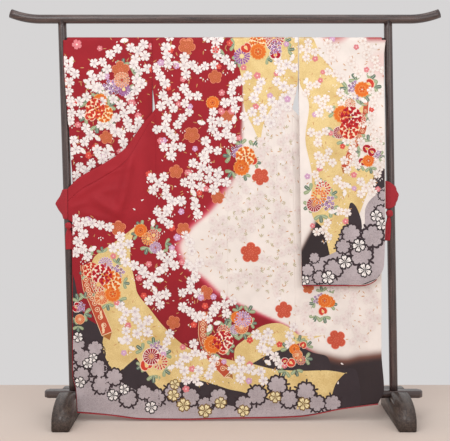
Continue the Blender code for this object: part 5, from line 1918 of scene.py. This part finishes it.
BODY_BOUQUETS = (
    spray(130, 1515, 120, 36, 1.45, (F.MAPLE, 33), (F.CAMELLIA, 25), (F.WISTERIA, 33), (F.MUM_PURPLE, 34),
          (F.PEONY_ORANGE, 34), (F.CAMELLIA_RED, 26)),
    spray(72, 1070, 60, 45, 0.4, (F.PEONY_ORANGE, 40), (F.MAPLE, 33), (F.WISTERIA, 33), (F.CAMELLIA, 22)),
    spray(-300, 745, 62, 32, -0.9, (F.MUM_ORANGE, 27), (F.MUM_FIRE, 27), (F.MUM_LILAC, 25),
          (F.MAPLE, 27)),
    spray(-490, 585, 98, 62, -0.35, (F.PEONY_RED, 42), (F.PEONY_ORANGE, 41), (F.MUM_FIRE, 33),
          (F.MUM_LILAC, 30), (F.MAPLE, 33), (F.PEONY_FIRE, 33), (F.WISTERIA, 33), (F.RING_ORANGE, 29)),
    spray(-592, 450, 55, 18, 0.2, (F.WISTERIA, 22), (F.RING_ORANGE, 21), (F.CAMELLIA_RED, 24)),
    spray(-292, 252, 58, 45, -0.3, (F.WHEEL, 36), (F.MUM_FIRE, 33), (F.CAMELLIA, 29), (F.WISTERIA, 29)),
    spray(-22, 332, 55, 42, 0.9, (F.PEONY_RED, 41), (F.MAPLE, 38), (F.MUM_FIRE, 29), (F.CAMELLIA, 25)),
    spray(66, 408, 45, 35, 0.3, (F.MUM_LILAC, 35), (F.RING_ORANGE, 28), (F.MAPLE, 25), (F.CAMELLIA, 21),
          (F.MUM_LILAC, 21)),
    spray(285, 265, 62, 38, 0.6, (F.RING_ORANGE, 21), (F.CAMELLIA, 21), (F.MAPLE, 22), (F.MUM_FIRE, 21),
          (F.CAMELLIA_RED, 17), (F.CAMELLIA, 17)),
    spray(400, 480, 52, 28, 0.3, (F.MAPLE, 28), (F.CAMELLIA, 21), (F.WISTERIA, 28), (F.MAPLE, 23)))
LEFT_BOUQUETS = (
    spray(-520, 1265, 52, 46, -0.3, (F.PEONY_FIRE, 40), (F.PEONY_ORANGE, 37), (F.CAMELLIA, 25),
          (F.MAPLE, 29)),
    spray(-435, 1390, 62, 46, 0.8, (F.MUM_PEACH, 33), (F.WISTERIA, 36), (F.PLUM_TAN, 38),
          (F.MUM_PURPLE, 28)))
RIGHT_BOUQUETS = (
    spray(500, 1225, 75, 58, 0.3, (F.PEONY_RED, 44), (F.PEONY_FIRE, 40), (F.MAPLE, 36), (F.MUM_FIRE, 26),
          (F.WHEEL, 26), (F.MUM_PEACH, 23)),
    spray(550, 1360, 50, 30, 1.3, (F.MAPLE, 32), (F.WISTERIA, 28), (F.CAMELLIA, 25), (F.WISTERIA, 22)),
    spray(585, 1090, 52, 34, 0.4, (F.CAMELLIA_RED, 21), (F.MAPLE, 25), (F.CAMELLIA_RED, 21),
          (F.WISTERIA, 21), (F.CAMELLIA_RED, 19)),
    spray(388, 905, 55, 42, -0.3, (F.MUM_ORANGE, 33), (F.WISTERIA, 36), (F.WHEEL, 32), (F.MUM_FIRE, 33)))
CHEST_BOUQUET = spray(210, 1490, 55, 35, 1.2, (F.MUM_RED, 34), (F.MAPLE, 26), (F.WISTERIA, 24))


# --- the rack ------------------------------------------------------------------------------------
@dataclass
class Rack:
    """The wooden rack: two leaning posts on feet, a top rail, a pole and a low bar."""

    shop: Workshop
    drape: Drape = DRAPE
    rail_r: float = 0.0182
    rail_half: float = 0.871
    tip_run: float = 0.12
    tip_rise: float = 0.023
    pole_r: float = 0.0115

    def build(self) -> None:
        """Makes every piece of the rack."""
        self.rail()
        self.pole()
        self.bar()
        for side in Side:
            self.post(side)
            self.foot(side)

    def rail(self) -> None:
        """Round top rail whose tips sweep up."""
        x = np.linspace(-self.rail_half, self.rail_half, 121)
        out = np.maximum(0.0, np.abs(x) - (self.rail_half - self.tip_run)) / self.tip_run
        line = np.stack([x, np.zeros_like(x), self.drape.rail_z + self.tip_rise * out * out], axis=-1)
        mesh = sweep("rail", line, self.rail_r, 40)
        self.shop.piece(mesh.name, mesh, (LEVEL_WOOD,), ("rack_top_rail",))

    def pole(self) -> None:
        """Pole through the sleeves, and the small sockets that hold it."""
        d, z = self.drape, self.drape.pole
        ends = []
        for side in Side:
            face = float(d.post(side, z)) - side.value * (d.post_r + 0.0003)
            inner = face - side.value * 0.006
            line = [(inner, 0.0, z), ((inner + face) / 2, 0.0, z), (face, 0.0, z)]
            mesh = sweep(f"pole_socket_{side.word}", np.array(line), self.pole_r, 32)
            self.shop.piece(mesh.name, mesh, (LEVEL_WOOD,), (f"rack_pole_socket_{side.word}",))
            ends.append(inner - side.value * 0.0003)
        x = np.linspace(min(ends), max(ends), 41)
        line = np.stack([x, np.zeros_like(x), np.full_like(x, z)], axis=-1)
        mesh = sweep("sleeve_pole", line, self.pole_r, 32)
        self.shop.piece(mesh.name, mesh, (LEVEL_WOOD,), ("rack_sleeve_pole",))

    def post(self, side: Side) -> None:
        """Leaning round post, its top hollowed to the rail's round."""
        d, sides, rows = self.drape, 48, 60
        turns = (np.arange(sides) + 0.5) * math.tau / sides
        ring_x, ring_y = d.post_r * np.cos(turns), d.post_r * np.sin(turns)
        low = d.bar_top + 0.0003
        high = d.rail_z - np.sqrt((self.rail_r + 0.0003) ** 2 - ring_y ** 2)
        share = np.linspace(0.0, 1.0, rows)[:, None]
        z = low + (high[None, :] - low) * share
        points = np.stack([d.post(side, z) + ring_x[None, :], np.broadcast_to(ring_y, z.shape), z], axis=-1)
        n = sides
        faces = quads(rows, n) + [list(range(n))[::-1]]
        half, top = n // 2, (rows - 1) * n
        for k in range(half - 1):
            near = (k - n // 4) % n
            far = (half - 1 - near) % n
            strip = [near, (near + 1) % n, (far - 1) % n, far]
            strip = [i for j, i in enumerate(strip) if i not in strip[:j]]
            if len(strip) > 2:
                faces.append([i + top for i in strip])
        mesh = facing_out(mesh_of(f"post_{side.word}", points.reshape(-1, 3), faces))
        self.shop.piece(mesh.name, mesh, (UPRIGHT_WOOD,), (f"rack_post_{side.word}",))

    def bar(self) -> None:
        """Flat bar let into both feet, with cut and eased corners."""
        half, deep, cut = 0.78, 0.028, 0.016
        plan = [(-half, -deep + cut), (-half + cut, -deep), (half - cut, -deep), (half, -deep + cut),
                (half, deep - cut), (half - cut, deep), (-half + cut, deep), (-half, deep - cut)]
        plan = [(x + self.drape.post_lean, y) for x, y in plan]
        low, high = self.drape.bar_top - 0.026, self.drape.bar_top
        mesh = self.prism("low_bar", [[(x, y, z) for x, y in plan] for z in (low, high)], 0.0022)
        self.shop.piece(mesh.name, mesh, (LEVEL_WOOD,), ("rack_bottom_bar",))

    def foot(self, side: Side) -> None:
        """Arched foot, notched for the bar, its edges eased."""
        half, toe, top, wide = 0.205, 0.035, 0.1147, 0.0705
        low = self.drape.bar_top - 0.026
        notch = 0.0283
        crown = notch + 0.006
        turns = np.radians(np.linspace(0.0, 90.0, 25))
        rise = list(zip(mix(crown, half, np.sin(turns)), mix(toe, top, np.cos(turns))))
        outline = [(notch, low - 0.0003), (notch, top)] + rise + [(half, 0.0)]
        outline = [(-y, z) for y, z in reversed(outline)] + outline
        middle = float(self.drape.post(side, self.drape.bar_top)) + side.value * 0.018
        ends = [[(x, y, z) for y, z in outline] for x in (middle - wide / 2, middle + wide / 2)]
        mesh = self.prism(f"foot_{side.word}", ends, 0.0035)
        self.shop.piece(mesh.name, mesh, (FOOT_WOOD,), (f"rack_foot_{side.word}",))

    @staticmethod
    def prism(name: str, ends: Sequence[Sequence], ease_by: float) -> Mesh:
        """A block between two outlines, its sharp edges eased."""
        n = len(ends[0])
        faces = [list(range(n)), [n + k for k in range(n)][::-1]]
        faces += quads(2, n)
        mesh = facing_out(mesh_of(name, np.array(ends, float).reshape(-1, 3), faces))
        with opened(mesh) as form:
            sharp = [e for e in form.edges if len(e.link_faces) == 2
                     and e.calc_face_angle() > math.radians(35)]
            bmesh.ops.bevel(form, geom=sharp, offset=ease_by, segments=3, affect="EDGES",
                            clamp_overlap=True)
        return mesh


# --- the studio ----------------------------------------------------------------------------------
@dataclass
class Studio:
    """Pale floor, soft lights, a pale sky and the camera."""

    def build(self) -> None:
        """Makes the stage, lights and camera."""
        self.panel("floor", ((-4, -5, 0), (4, -5, 0), (4, 0.55, 0), (-4, 0.55, 0)), FLOOR)
        self.lamp("key", (-1.6, -3.4, 3.2), (0.0, 0.0, 0.9), 2.2, 52.0)
        self.lamp("fill", (2.2, -3.2, 2.0), (0.0, 0.0, 0.8), 2.4, 26.0)
        self.lamp("top", (0.0, -0.8, 3.6), (0.0, 0.0, 0.6), 2.0, 16.0)
        world = bpy.data.worlds.new("studio")
        bpy.context.scene.world = world
        world.use_nodes = True
        sky = world.node_tree.nodes["Background"].inputs
        sky["Color"].default_value, sky["Strength"].default_value = linear("#e8e6e6"), 0.84
        seen = bpy.data.cameras.new("camera")
        seen.lens, seen.sensor_width, seen.shift_y = 71.2, 36.0, -0.041
        camera = placed("camera", seen)
        camera.location = (0.0, -3.65, 1.048)
        camera.rotation_euler = (math.radians(90.0 - 2.4), 0.0, 0.0)
        bpy.context.scene.camera = camera
        bpy.context.scene.view_settings.view_transform = "Standard"

    @staticmethod
    def panel(name: str, corners: Sequence, finish: Finish) -> None:
        """A flat sheet of the stage."""
        mesh = mesh_of(name, np.array(corners, float), [[0, 1, 2, 3]])
        mesh.materials.append(finish.material())
        placed(name, mesh)

    @staticmethod
    def lamp(name: str, place: Sequence[float], aim: Sequence[float], size: float, power: float) -> None:
        """A square soft light that faces a point."""
        light = bpy.data.lights.new(name, "AREA")
        light.size, light.energy = size, power
        made = placed(name, light)
        made.location = place
        made.rotation_euler = (Vector(aim) - Vector(place)).to_track_quat("-Z", "Y").to_euler()


def main() -> None:
    """Builds the rack, the garment and the studio, and logs how many pieces were made."""
    logging.basicConfig(level=logging.INFO, format="%(name)s: %(message)s")
    shop = Workshop()
    Rack(shop).build()
    Kimono(shop).build()
    Studio().build()
    log.info("%d pieces", len(shop.made))


if __name__ == "__main__":
    main()
